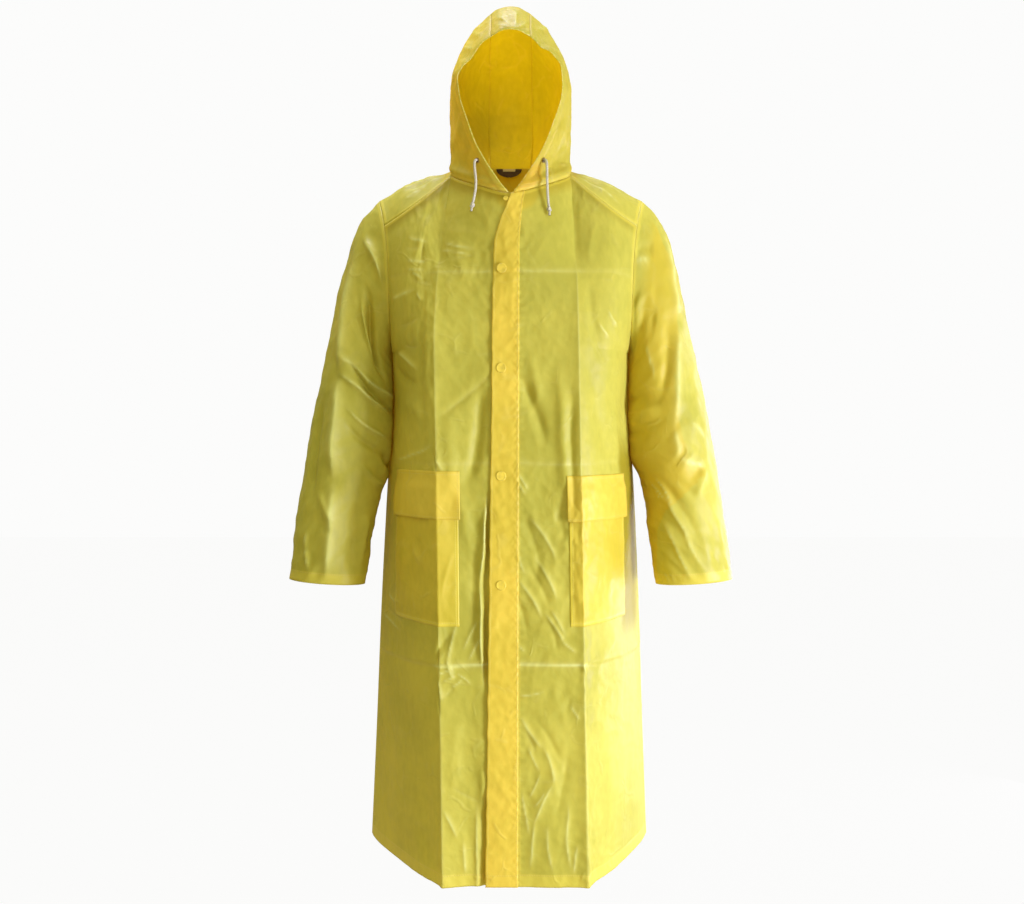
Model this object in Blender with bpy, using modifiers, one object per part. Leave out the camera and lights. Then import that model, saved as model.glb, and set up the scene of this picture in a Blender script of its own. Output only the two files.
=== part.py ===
"""A long hooded raincoat of thin film, filled out as when it is worn and empty inside.

Metres, +Z up. The wearer faces -Y, so the wearer's left is +X. The origin is at the base of the
neck, midway between the shoulders, where a wearer holds the coat up. Every piece that is cut and
sewn or pressed on is its own object.
"""

from collections import namedtuple
from math import copysign, cos, exp, pi, radians, sin

import bmesh
import bpy
from mathutils import Vector

# Cloth
WALL = 0.0012  # the film as built, one layer
FOLDED_WALL = 0.0018  # a strip or flap folded double
SEAM_GAP = 0.0005  # between two pieces that are sewn edge to edge
CORNER_GAP = 0.0016  # the same where they meet at an angle, so that their inner faces clear
LAY_GAP = 0.0007  # between a piece and what it is sewn down on

# Body. A level row is one horizontal section: how far the front and back panels stand from the
# shoulder plane, where the side seam runs, and how flat the cloth runs from fold to side seam
# (1 is a round quarter, 2 is straight).
Level = namedtuple("Level", "z front_y back_y side_x side_y flatness")
LEVELS = (
    Level(-1.230, -0.135, 0.268, 0.2625, 0.078, 1.75),
    Level(-0.990, -0.134, 0.250, 0.2525, 0.074, 1.60),
    Level(-0.760, -0.132, 0.230, 0.2440, 0.070, 1.45),
    Level(-0.530, -0.131, 0.206, 0.2320, 0.064, 1.30),
    Level(-0.400, -0.130, 0.190, 0.2205, 0.050, 1.15),
    Level(-0.300, -0.129, 0.178, 0.2170, 0.020, 1.05),
    Level(-0.150, -0.124, 0.164, 0.2170, 0.020, 1.00),
    Level(-0.020, -0.105, 0.140, 0.2170, 0.020, 1.00),
)
HEM_FRONT_Z = -1.2265
HEM_SIDE_Z = -1.205
HEM_BACK_Z = -1.212
SIDE_SHIFT = 0.003  # the skirt hangs this much to the wearer's right at the hem
SIDE_SHIFT_TOP = -0.50
FOLD_X = 0.1245  # the lengthwise packing fold of each panel, from the centre line
FOLD_LEVEL = -0.72  # where both folds are that far out
FOLD_LEAN = 0.0161  # sideways for each metre of height
FOLD_SHARE = 0.40  # of a panel's columns, those between the centre line and the fold
ARM_ROW = 0.75  # share of the rows that lie below the underarm
UNDERARM_Z = -0.300
SHOULDER_Z = -0.016

# Broad lengthwise flutes of the skirt, deepest at the hem. place and width are in shares of a
# panel's half, top is the row where the flute has died out; a positive depth stands out.
Flute = namedtuple("Flute", "place width depth top")
FRONT_FLUTES = (
    Flute(-0.22, 0.09, -0.0035, 0.80),
    Flute(0.20, 0.08, 0.0030, 0.70),
    Flute(-0.62, 0.10, 0.0040, 0.45),
    Flute(0.66, 0.10, 0.0030, 0.45),
)
BACK_FLUTES = (
    Flute(-0.62, 0.09, -0.0070, 0.60),
    Flute(-0.20, 0.10, -0.0110, 0.72),
    Flute(0.02, 0.09, 0.0060, 0.80),
    Flute(0.26, 0.10, -0.0090, 0.66),
    Flute(0.68, 0.09, -0.0060, 0.55),
)

# Armhole: a loop in a nearly upright plane, turned from the underarm
ARM_X = 0.217
ARM_LEAN = 0.0255  # the shoulder point stands further out than the underarm by this
ARM_LEAN_POWER = 4
ARM_Y = 0.020
ARM_DEPTH = 0.083
TURN_FRONT = radians(126)  # where the front yoke seam meets the armhole
TURN_BACK = radians(114)  # where the back yoke seam does

# Neck seam from centre front round to centre back, and the yoke between it and the armhole. The
# first and last rows mirror their neighbours across the centre line.
Place = namedtuple("Place", "share x y z")
NECK_SEAM = (
    Place(-0.2, -0.055, -0.089, -0.0115),
    Place(0.0, 0.000, -0.105, -0.0275),
    Place(0.2, 0.055, -0.089, -0.0115),
    Place(0.4, 0.107, -0.040, 0.0190),
    Place(0.6, 0.106, 0.030, 0.0460),
    Place(0.8, 0.062, 0.086, 0.0620),
    Place(1.0, 0.000, 0.103, 0.0670),
    Place(1.2, -0.062, 0.086, 0.0620),
)
NECK_POINT = 0.4  # where the front yoke seam meets the neck seam
YOKE_CORNER = 0.5  # share of the yoke's columns that end on the armhole
YOKE_BACK_Y = 0.158
Swell = namedtuple("Swell", "share y z")
YOKE_SWELL = (
    Swell(0.0, -0.020, -0.009),
    Swell(0.25, 0.000, 0.007),
    Swell(0.5, 0.020, 0.006),
    Swell(1.0, 0.016, 0.010),
)

# Sleeve: a row is one ring, by its outermost and innermost points in the front view and its depth
Ring = namedtuple("Ring", "along outer_x outer_z inner_x inner_z mid_y half_y")
RINGS = (
    Ring(0.00, 0.2425, -0.016, 0.2170, -0.300, 0.020, 0.083),
    Ring(0.08, 0.2740, -0.047, 0.2225, -0.338, 0.024, 0.084),
    Ring(0.22, 0.3070, -0.140, 0.2255, -0.395, 0.026, 0.083),
    Ring(0.40, 0.3360, -0.278, 0.2315, -0.462, 0.022, 0.078),
    Ring(0.58, 0.3640, -0.415, 0.2475, -0.540, 0.015, 0.070),
    Ring(0.78, 0.3890, -0.570, 0.2545, -0.622, 0.009, 0.063),
    Ring(1.00, 0.4070, -0.712, 0.2680, -0.722, 0.006, 0.057),
)
ARM_BLEND = 0.16  # share of the sleeve over which the armhole's shape turns into plain rings

# Hood: a row is one rib of a side panel, from the neck seam over cheek and temple to the strip seam
Rib = namedtuple("Rib", "share cheek_x cheek_y cheek_z temple_x temple_y temple_z seam_x seam_y seam_z")
RIBS = (
    Rib(0.00, 0.069, -0.097, 0.077, 0.090, -0.093, 0.178, 0.034, -0.090, 0.250),
    Rib(0.20, 0.099, -0.062, 0.100, 0.101, -0.052, 0.205, 0.035, -0.045, 0.298),
    Rib(0.45, 0.111, -0.008, 0.125, 0.100, 0.006, 0.230, 0.037, 0.012, 0.326),
    Rib(0.70, 0.106, 0.055, 0.130, 0.094, 0.080, 0.215, 0.040, 0.090, 0.302),
    Rib(0.87, 0.086, 0.108, 0.115, 0.080, 0.132, 0.178, 0.042, 0.147, 0.243),
    Rib(1.00, 0.041, 0.137, 0.095, 0.043, 0.160, 0.140, 0.043, 0.166, 0.190),
)
HOOD_FRONT = 0.012  # each side panel starts this far round the neck seam from centre front
HOOD_NAPE = 0.88  # and ends here, where the centre strip begins
STRIP_CORNER = 0.6  # share of the centre strip that lies above the ends of the ribs
STRIP_SETTLES = 0.8  # past this share of its length the strip eases to the neck seam
STRIP_RISE = (0.014, 0.012, 0.006)  # the strip's crown above its seams at the face, crown and nape

# Placket: its two long edges, by height
Edge = namedtuple("Edge", "z left_x right_x")
PLACKET = (
    Edge(-1.240, -0.0430, 0.0130),
    Edge(-0.760, -0.0375, 0.0135),
    Edge(-0.335, -0.0325, 0.0145),
    Edge(-0.120, -0.0310, 0.0155),
    Edge(-0.077, -0.0200, 0.0185),
    Edge(-0.050, -0.0080, 0.0215),
    Edge(-0.020, 0.0045, 0.0270),
)
FRONT_EDGE_X = {-1: 0.0065, 1: 0.0095}  # where each front ends, behind the placket

# Pockets, by the front's own columns and by height
POCKET_INNER_X = {-1: 0.0905, 1: 0.1000}
POCKET_OUTER = 0.74
POCKET_MOUTH_Z = -0.545
POCKET_FOOT_Z = -0.780
FLAP_TOP_Z = {-1: -0.513, 1: -0.521}
FLAP_FOOT_Z = {-1: -0.596, 1: -0.600}
FLAP_OVERHANG = 0.0030

# Snaps
SNAP_RADIUS = 0.0088
SNAP_HEIGHT = 0.0022
SNAP_X = -0.0163
SNAP_Z = (-0.1635, -0.3355, -0.5213, -0.7088)
NECK_SNAP_RADIUS = 0.0045
NECK_SNAP_X, NECK_SNAP_Z = -0.0100, -0.0390

# Drawstring
CORD_DIAMETER = 0.0046
EYELET_HOLE = 0.0029
EYELET_RADIUS = 0.0047
EYELET_HEIGHT = 0.0011
EYELET_LIFT = 0.0012
EYELET_RIB, EYELET_UP = 0.085, 0.168
EXIT_ROUTES = {  # from the eyelet down over the neck seam, each point set by hand
    "left": (
        (0.0589, -0.0905, 0.0326),
        (0.0608, -0.0931, 0.0320),
        (0.0622, -0.0956, 0.0298),
        (0.0630, -0.0974, 0.0265),
        (0.0634, -0.0987, 0.0225),
        (0.0636, -0.0995, 0.0165),
        (0.0637, -0.1003, 0.0070),
        (0.0639, -0.1007, -0.0060),
        (0.0645, -0.1012, -0.0250),
        (0.0657, -0.1022, -0.0430),
        (0.0667, -0.1028, -0.0520),
    ),
    "right": (
        (-0.0589, -0.0905, 0.0326),
        (-0.0608, -0.0931, 0.0320),
        (-0.0622, -0.0956, 0.0298),
        (-0.0630, -0.0974, 0.0265),
        (-0.0632, -0.0987, 0.0225),
        (-0.0629, -0.0995, 0.0165),
        (-0.0618, -0.1003, 0.0070),
        (-0.0606, -0.1007, -0.0060),
        (-0.0612, -0.1014, -0.0210),
        (-0.0638, -0.1026, -0.0360),
        (-0.0658, -0.1032, -0.0450),
    ),
}
KNOT_RADIUS = 0.0042
KNOT_HALF_HEIGHT = 0.0050
KNOT_TAIL = 0.0060

# Label
LABEL_WIDTH = 0.049
LABEL_HEIGHT = 0.016
LABEL_X = -0.003

# Columns and rows of the panels
CENTRE_COLUMNS, SIDE_COLUMNS = 4, 6
SKIRT_ROWS, CHEST_ROWS = 18, 6
SLEEVE_ROWS = 18
HOOD_ROWS = 9

YELLOW = (0.72, 0.60, 0.06, 1)
GOLD = (0.78, 0.58, 0.05, 1)
IVORY = (0.72, 0.68, 0.50, 1)
BROWN = (0.08, 0.04, 0.02, 1)
BRASS = (0.40, 0.30, 0.12, 1)


def mix(a, b, share):
    return a + (b - a) * share


def read(table, place, column):
    """A column of a table at a place between its rows, on a smooth curve that never overshoots."""
    places = [row[0] for row in table]
    values = [getattr(row, column) for row in table]
    place = min(max(place, places[0]), places[-1])
    k = max(i for i in range(len(places) - 1) if places[i] <= place)
    slopes = [(values[i + 1] - values[i]) / (places[i + 1] - places[i]) for i in range(len(places) - 1)]

    def tangent(i):
        if i in (0, len(slopes)):
            return slopes[min(i, len(slopes) - 1)]
        before, after = slopes[i - 1], slopes[i]
        return 2 * before * after / (before + after) if before * after > 0 else 0.0

    width = places[k + 1] - places[k]
    t = (place - places[k]) / width
    start, end = values[k], values[k + 1]
    cubic = (2 * t**3 - 3 * t**2 + 1) * start + (3 * t**2 - 2 * t**3) * end
    return cubic + width * ((t**3 - 2 * t**2 + t) * tangent(k) + (t**3 - t**2) * tangent(k + 1))


def fold_x(hand, z):
    return FOLD_X + hand * FOLD_LEAN * (FOLD_LEVEL - z)


def neck_seam(hand, share):
    x, y, z = (read(NECK_SEAM, share, axis) for axis in "xyz")
    return Vector((hand * x, y, z))


def armhole(hand, turn):
    """The armhole seam. It turns forwards from the underarm: half a turn is the shoulder point."""
    lift = (1 - cos(turn)) / 2
    x = ARM_X + ARM_LEAN * lift**ARM_LEAN_POWER
    return Vector((hand * x, ARM_Y - ARM_DEPTH * sin(turn), mix(UNDERARM_Z, SHOULDER_Z, lift)))


def yoke(hand, share, out):
    """The yoke from the neck seam (out 0) to the armhole and back seam (out 1). share runs from
    the front yoke seam over the shoulder to centre back."""
    neck = neck_seam(hand, mix(NECK_POINT, 1, share))
    if share <= YOKE_CORNER:
        edge = armhole(hand, mix(TURN_FRONT, 2 * pi - TURN_BACK, share / YOKE_CORNER))
    else:
        corner = armhole(hand, -TURN_BACK)
        away = 1 - (share - YOKE_CORNER) / (1 - YOKE_CORNER)
        edge = Vector((corner.x * away, mix(YOKE_BACK_Y, corner.y, away**2.5), corner.z))
    swell = Vector((0, read(YOKE_SWELL, share, "y"), read(YOKE_SWELL, share, "z")))
    return neck.lerp(edge, out) + swell * sin(pi * out)


def section(front, hand, across, z, edge):
    """A point of the body's section at a height, from the centre line (0) to the edge (1)."""
    centre_y = read(LEVELS, z, "front_y" if front else "back_y")
    fold = fold_x(hand, z)
    if across <= FOLD_SHARE:
        return Vector((hand * fold * across / FOLD_SHARE, centre_y, z))
    turn = (across - FOLD_SHARE) / (1 - FOLD_SHARE) * pi / 2
    flatness = read(LEVELS, z, "flatness")
    x = fold + (abs(edge.x) - fold) * sin(turn) ** flatness
    y = edge.y + (centre_y - edge.y) * max(cos(turn), 0.0) ** flatness
    return Vector((hand * x, y, z))


def flute_depth(front, s, v):
    depth = 0.0
    for flute in FRONT_FLUTES if front else BACK_FLUTES:
        fade = max(0.0, 1 - v / flute.top)
        depth += flute.depth * exp(-(((s - flute.place) / flute.width) ** 2)) * fade
    return depth


def hem_z(front, across):
    centre = HEM_FRONT_Z if front else HEM_BACK_Z
    rise = max(0.0, (across - FOLD_SHARE) / (1 - FOLD_SHARE))
    return mix(centre, HEM_SIDE_Z, rise)


def torso(front, s, v):
    """The body's surface. s is -1 at the wearer's right side and 1 at the left, 0 is the centre
    line. v is 0 at the hem, ARM_ROW at the underarm and 1 at the neck and yoke seams."""
    hand = copysign(1, s)
    across = abs(s)
    if v <= ARM_ROW:
        z = mix(hem_z(front, across), UNDERARM_Z, v / ARM_ROW)
        drop = max(0.0, (SIDE_SHIFT_TOP - z) / (SIDE_SHIFT_TOP - HEM_SIDE_Z))
        side = hand * read(LEVELS, z, "side_x") - SIDE_SHIFT * drop
        turn = max(0.0, (across - FOLD_SHARE) / (1 - FOLD_SHARE)) * pi / 2
        out = Vector((hand * sin(turn), -cos(turn) if front else cos(turn), 0))
        flat = section(front, hand, across, z, Vector((side, read(LEVELS, z, "side_y"), z)))
        return flat + out * flute_depth(front, s, v)
    climb = (v - ARM_ROW) / (1 - ARM_ROW)
    return chest(front, hand, across, climb) + climb**2 * (
        top_edge(front, hand, across) - chest(front, hand, across, 1)
    )


def chest(front, hand, across, climb):
    """The body above the underarm, before it is eased to its neck and yoke seams."""
    edge = armhole(hand, climb * (TURN_FRONT if front else -TURN_BACK))
    centre_z = mix(UNDERARM_Z, neck_seam(hand, 0).z if front else armhole(hand, -TURN_BACK).z, climb)
    return section(front, hand, across, mix(centre_z, edge.z, across), edge)


def top_edge(front, hand, across):
    if not front:
        return yoke(hand, 1 - (1 - YOKE_CORNER) * across, 1)
    if across <= FOLD_SHARE:
        return neck_seam(hand, NECK_POINT * across / FOLD_SHARE)
    return yoke(hand, 0, (across - FOLD_SHARE) / (1 - FOLD_SHARE))


def sleeve(hand, turn, along):
    """The sleeve's surface, turned as the armhole is. along is 0 at the armhole, 1 at the cuff."""

    def ring(place):
        outer_x, outer_z, inner_x, inner_z, mid_y, half_y = (
            read(RINGS, place, column) for column in Ring._fields[1:]
        )
        lift = (1 - cos(turn)) / 2
        x = mix(inner_x, outer_x, lift)
        return Vector((hand * x, mid_y - half_y * sin(turn), mix(inner_z, outer_z, lift)))

    left = max(0.0, 1 - along / ARM_BLEND) ** 2
    return ring(along) + left * (armhole(hand, turn) - ring(0))


def hood_side(hand, share, up):
    """A hood side panel. share is 0 at the face edge and 1 at the back, up is 1 at the strip."""
    neck = neck_seam(1, mix(HOOD_FRONT, HOOD_NAPE, share))
    stations = [neck]
    for name in ("cheek", "temple", "seam"):
        stations.append(Vector([read(RIBS, share, f"{name}_{axis}") for axis in "xyz"]))
    point = Vector((0, 0, 0))
    knots = (0, 1 / 3, 2 / 3, 1)
    for i, station in enumerate(stations):
        weight = 1.0
        for j, knot in enumerate(knots):
            if j != i:
                weight *= (up - knot) / (knots[i] - knot)
        point += station * weight
    return Vector((hand * point.x, point.y, point.z))


def hood_strip(across, along):
    """The hood's centre strip. across runs -1 to 1, along from the face edge to the nape."""

    def seam(place):
        place = min(max(place, 0.0), 1.0)
        if place <= STRIP_CORNER:
            return hood_side(1, place / STRIP_CORNER, 1)
        return hood_side(1, 1, 1 - (place - STRIP_CORNER) / (1 - STRIP_CORNER))

    edge = seam(along)
    run = seam(along + 0.02) - seam(along - 0.02)
    out = Vector((0, -run.z, run.y)).normalized()
    face, crown, nape = STRIP_RISE
    rise = mix(face, crown, along * 2) if along < 0.5 else mix(crown, nape, along * 2 - 1)
    point = Vector((across * edge.x, edge.y, edge.z)) + out * rise * (1 - across**2)
    if along <= STRIP_SETTLES:
        return point
    settled = ((along - STRIP_SETTLES) / (1 - STRIP_SETTLES)) ** 2
    sewn = neck_seam(copysign(1, across), mix(1, HOOD_NAPE, abs(across)))
    nape_rise = Vector((0, 1, 0)) * nape * (1 - across**2)
    return point.lerp(sewn + nape_rise * (1 - settled), settled)


def lifted(form, a, b, distance):
    """A point of a form, moved out along its normal by a distance."""
    step = 0.004
    a0, a1 = a - step, a + step
    b0, b1 = b - step, min(b + step, 1.0)
    normal = (form(a1, b) - form(a0, b)).cross(form(a, b1) - form(a, b0)).normalized()
    return form(a, b) + normal * distance, normal


def front(s, v):
    return torso(True, s, v)


def row_at(s, z):
    """The front's row that passes a height at a column."""
    low, high = 0.0, 1.0
    for _ in range(40):
        middle = (low + high) / 2
        if front(s, middle).z < z:
            low = middle
        else:
            high = middle
    return low


def column_at(x, z):
    """The front's column at a distance from the centre line, between the two folds."""
    return x * FOLD_SHARE / fold_x(copysign(1, x), z)


def between(places, place):
    """The two places that a place lies between, and its share of the way."""
    k = max(0, min(len(places) - 2, sum(p <= place for p in places) - 1))
    return places[k], places[k + 1], (place - places[k]) / (places[k + 1] - places[k])


def over_facets(s, v, distance):
    """A point over a front as it is built, flat between its own columns and rows."""
    columns = sorted(front_columns(-1 if s <= front_edge(-1) + 1e-6 else 1))
    s0, s1, across = between(columns, s)
    v0, v1, up = between(panel_rows(), v)
    low = lifted(front, s0, v0, distance)[0].lerp(lifted(front, s1, v0, distance)[0], across)
    high = lifted(front, s0, v1, distance)[0].lerp(lifted(front, s1, v1, distance)[0], across)
    return low.lerp(high, up)


def on_front(x, z, distance):
    s = column_at(x, z)
    v = row_at(s, z)
    return over_facets(s, v, distance), lifted(front, s, v, 0)[1]


def steps(start, end, count):
    return [mix(start, end, i / count) for i in range(count + 1)]


def draw_in(grid, low=SEAM_GAP, high=SEAM_GAP, start=SEAM_GAP, end=SEAM_GAP):
    """Moves each rim of a grid of points inwards along the cloth by half of that seam's gap."""
    last_row, last_column = len(grid) - 1, len(grid[0]) - 1
    moved = [list(row) for row in grid]
    for i in range(last_row + 1):
        for j in range(last_column + 1):
            for edge, inner, gap in (
                (i == 0, (1, j), low),
                (i == last_row, (last_row - 1, j), high),
                (j == 0, (i, 1), start),
                (j == last_column, (i, last_column - 1), end),
            ):
                if edge:
                    way = grid[inner[0]][inner[1]] - grid[i][j]
                    moved[i][j] = moved[i][j] + way.normalized() * gap / 2
    return moved


def material(name, colour, roughness, metallic=0.0):
    made = bpy.data.materials.new(name)
    made.use_nodes = True
    shader = made.node_tree.nodes["Principled BSDF"]
    shader.inputs["Base Color"].default_value = colour
    shader.inputs["Roughness"].default_value = roughness
    shader.inputs["Metallic"].default_value = metallic
    return made


def add_object(name, data, colour, roughness, metallic=0.0):
    obj = bpy.data.objects.new(name, data)
    data.materials.append(material(name, colour, roughness, metallic))
    coat.objects.link(obj)
    return obj


def cloth(name, grid, inside, wall=WALL, colour=YELLOW, tube=False):
    """A piece of cloth: a grid drawn to the given points, then given its thickness inwards.
    inside is a point in the hollow that it stands round, which its outer face looks away from."""
    rows, columns = len(grid) - 1, len(grid[0]) - 1
    bm = bmesh.new()
    bmesh.ops.create_grid(bm, x_segments=columns, y_segments=rows, size=0.5)
    for vertex in bm.verts:
        vertex.co = grid[round((vertex.co.y + 0.5) * rows)][round((vertex.co.x + 0.5) * columns)]
    if tube:
        bmesh.ops.remove_doubles(bm, verts=bm.verts, dist=1e-6)
    bm.normal_update()
    facing = sum(f.normal.dot(f.calc_center_median() - inside) * f.calc_area() for f in bm.faces)
    if facing < 0:
        bmesh.ops.reverse_faces(bm, faces=bm.faces)
    mesh = bpy.data.meshes.new(name)
    bm.to_mesh(mesh)
    bm.free()
    mesh.shade_smooth()
    obj = add_object(name, mesh, colour, 0.3)
    solidify = obj.modifiers.new("Wall", "SOLIDIFY")
    solidify.thickness = wall
    solidify.offset = -1
    return obj


def panel_columns(start, end):
    """Columns from a place near the centre line to the side, with one on the fold."""
    hand = copysign(1, end)
    centre = [start] + steps(0, hand * FOLD_SHARE, CENTRE_COLUMNS)[1:]
    return centre + steps(hand * FOLD_SHARE, end, SIDE_COLUMNS)[1:]


def front_edge(hand):
    return FRONT_EDGE_X[hand] * FOLD_SHARE / FOLD_X


def front_columns(hand):
    return panel_columns(front_edge(hand), hand)


def panel_rows():
    return steps(0, ARM_ROW, SKIRT_ROWS) + steps(ARM_ROW, 1, CHEST_ROWS)[1:]


BODY_INSIDE = Vector((0, 0.05, -0.6))
HOOD_INSIDE = Vector((0, 0.03, 0.15))


def build_body():
    for name, hand in (("front_left", 1), ("front_right", -1)):
        grid = [[front(s, v) for s in front_columns(hand)] for v in panel_rows()]
        cloth(name, draw_in(grid, high=CORNER_GAP, end=CORNER_GAP), BODY_INSIDE)
    columns = panel_columns(0, -1)[:0:-1] + panel_columns(0, 1)
    grid = [[torso(False, s, v) for s in columns] for v in panel_rows()]
    cloth("back", draw_in(grid, start=CORNER_GAP, end=CORNER_GAP), BODY_INSIDE)


def yoke_shares():
    """The yoke's columns from the front yoke seam to centre back, matched to the sleeve's and
    the back's."""
    over_back = [1 - (1 - YOKE_CORNER) * s for s in panel_columns(0, 1)[::-1]]
    return steps(0, YOKE_CORNER, CHEST_ROWS)[:-1] + over_back


def build_yoke():
    shares = yoke_shares()
    outs = steps(0, 1, SIDE_COLUMNS)
    grid = []
    for out in outs:
        right = [yoke(-1, share, out) for share in shares]
        left = [yoke(1, share, out) for share in shares]
        grid.append(right + left[-2::-1])
    edges = {"start": CORNER_GAP, "end": CORNER_GAP}
    cloth("yoke", draw_in(grid, **edges), Vector((0, 0.03, -0.3)))


def sleeve_turns():
    front_turns = steps(0, TURN_FRONT, CHEST_ROWS)
    top_turns = steps(TURN_FRONT, 2 * pi - TURN_BACK, CHEST_ROWS)[1:]
    return front_turns + top_turns + steps(2 * pi - TURN_BACK, 2 * pi, CHEST_ROWS)[1:]


def build_sleeves():
    for name, hand in (("sleeve_left", 1), ("sleeve_right", -1)):
        rings = [along**1.25 for along in steps(0, 1, SLEEVE_ROWS)]
        grid = [[sleeve(hand, turn, along) for turn in sleeve_turns()] for along in rings]
        first, second = grid[0], grid[1]
        grid[0] = [a + (b - a).normalized() * CORNER_GAP / 2 for a, b in zip(first, second)]
        cloth(name, grid, Vector((hand * 0.31, 0.015, -0.42)), tube=True)


def build_hood():
    """Its columns stand on those of the fronts and the yoke along the neck seam."""
    on_fronts = [HOOD_FRONT] + steps(0, NECK_POINT, CENTRE_COLUMNS)[1:]
    on_yoke = [mix(NECK_POINT, 1, share) for share in yoke_shares()[1:]]
    seam_places = on_fronts + [place for place in on_yoke if place < HOOD_NAPE + 1e-6]
    shares = [(place - HOOD_FRONT) / (HOOD_NAPE - HOOD_FRONT) for place in seam_places]
    ups = steps(0, 1, HOOD_ROWS)
    for name, hand in (("hood_left", 1), ("hood_right", -1)):
        grid = [[hood_side(hand, share, up) for share in shares] for up in ups]
        cloth(name, draw_in(grid, CORNER_GAP, CORNER_GAP, SEAM_GAP, CORNER_GAP), HOOD_INSIDE)
    places = [STRIP_CORNER * share for share in shares[::2]]
    places += [mix(STRIP_CORNER, 1, 1 - up) for up in ups[-2::-1]]
    across = steps(-1, 1, 2 * CENTRE_COLUMNS)
    grid = [[hood_strip(place, along) for place in across] for along in places]
    edges = {"start": CORNER_GAP, "end": CORNER_GAP}
    cloth("hood_centre", draw_in(grid, **edges), HOOD_INSIDE)


def build_placket():
    out = FOLDED_WALL + LAY_GAP
    grid = []
    for v in panel_rows():
        z = front(0, v).z
        left, right = (column_at(read(PLACKET, z, side), z) for side in ("left_x", "right_x"))
        columns = (left, (left + front_edge(-1)) / 2, front_edge(-1), front_edge(1), right)
        grid.append([over_facets(s, v, out) for s in columns])
    cloth("placket", draw_in(grid), BODY_INSIDE, FOLDED_WALL, GOLD)


def build_pockets():
    """The patch and its flap use the front's own columns and rows, and ends between them."""
    patch_out = LAY_GAP + WALL
    flap_top_out = LAY_GAP + FOLDED_WALL
    flap_out = patch_out + LAY_GAP + FOLDED_WALL
    for side, hand in (("left", 1), ("right", -1)):
        inner = column_at(hand * POCKET_INNER_X[hand], POCKET_MOUTH_Z)
        outer = hand * POCKET_OUTER
        overhang = hand * FLAP_OVERHANG * FOLD_SHARE / FOLD_X
        kept = [s for s in panel_columns(0, hand) if abs(inner) < abs(s) < POCKET_OUTER]
        foot, mouth = (row_at(inner, z) for z in (POCKET_FOOT_Z, POCKET_MOUTH_Z))
        rows = [foot] + [v for v in panel_rows() if foot < v < mouth] + [mouth]
        grid = [[over_facets(s, v, patch_out) for s in (inner, *kept, outer)] for v in rows]
        cloth(f"pocket_{side}", grid, BODY_INSIDE, WALL, GOLD)
        foot, top = (row_at(inner, table[hand]) for table in (FLAP_FOOT_Z, FLAP_TOP_Z))
        above_mouth = mix(mouth, top, 0.2)
        rows = sorted([foot, above_mouth, top] + [v for v in panel_rows() if foot < v < above_mouth])
        columns = (inner - overhang, *kept, outer + overhang)
        outs = [flap_top_out if v == top else flap_out for v in rows]
        grid = [[over_facets(s, v, out) for s in columns] for v, out in zip(rows, outs)]
        cloth(f"pocket_flap_{side}", grid, BODY_INSIDE, FOLDED_WALL, GOLD)


def place_on(obj, point, normal):
    obj.location = point
    obj.rotation_euler = normal.to_track_quat("Z", "Y").to_euler()


def build_snap(name, x, z, radius, over):
    """A pressed round cap with a softened rim, its flat side on the cloth."""
    bm = bmesh.new()
    bmesh.ops.create_cone(
        bm, cap_ends=True, segments=20, radius1=radius, radius2=radius * 0.86, depth=SNAP_HEIGHT
    )
    bmesh.ops.translate(bm, verts=bm.verts, vec=(0, 0, SNAP_HEIGHT / 2))
    mesh = bpy.data.meshes.new(name)
    bm.to_mesh(mesh)
    bm.free()
    obj = add_object(name, mesh, GOLD, 0.35)
    place_on(obj, *on_front(x, z, over + LAY_GAP))


def build_snaps():
    placket_top = FOLDED_WALL + LAY_GAP
    for number, z in enumerate(SNAP_Z, start=1):
        build_snap(f"snap_{number}", SNAP_X, z, SNAP_RADIUS, placket_top)
    build_snap("snap_neck", NECK_SNAP_X, NECK_SNAP_Z, NECK_SNAP_RADIUS, 0)


def build_eyelets():
    for side, hand in (("left", 1), ("right", -1)):
        bm = bmesh.new()
        bmesh.ops.create_circle(bm, segments=16, radius=EYELET_HOLE)
        for vertex in bm.verts:
            vertex.co.z = 0
        made = bmesh.ops.extrude_edge_only(bm, edges=bm.edges)
        for vertex in made["geom"]:
            if isinstance(vertex, bmesh.types.BMVert):
                vertex.co *= EYELET_RADIUS / EYELET_HOLE
        bm.normal_update()
        mesh = bpy.data.meshes.new(f"eyelet_{side}")
        bm.to_mesh(mesh)
        bm.free()
        obj = add_object(f"eyelet_{side}", mesh, BRASS, 0.35, 1.0)
        solidify = obj.modifiers.new("Rim", "SOLIDIFY")
        solidify.thickness = EYELET_HEIGHT
        solidify.offset = 1

        def form(share, up, hand=hand):
            return hood_side(hand, share, up)

        point, normal = lifted(form, EYELET_RIB, EYELET_UP, 0)
        if normal.dot(point - HOOD_INSIDE) < 0:
            normal = -normal
        place_on(obj, point + normal * EYELET_LIFT, normal)


def smooth_route(points, spacing):
    """Points along a smooth curve through the given ones, about this far apart."""
    route = [Vector(p) for p in points]
    ends = [route[0] * 2 - route[1]] + route + [route[-1] * 2 - route[-2]]
    found = []
    for a, b, c, d in zip(ends, ends[1:], ends[2:], ends[3:]):
        count = max(1, round((c - b).length / spacing))
        for t in steps(0, 1, count)[:-1]:
            found.append(
                0.5 * (2 * b + (c - a) * t + (2 * a - 5 * b + 4 * c - d) * t**2
                       + (3 * b - a - 3 * c + d) * t**3)
            )
    return found + [route[-1]]


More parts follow.
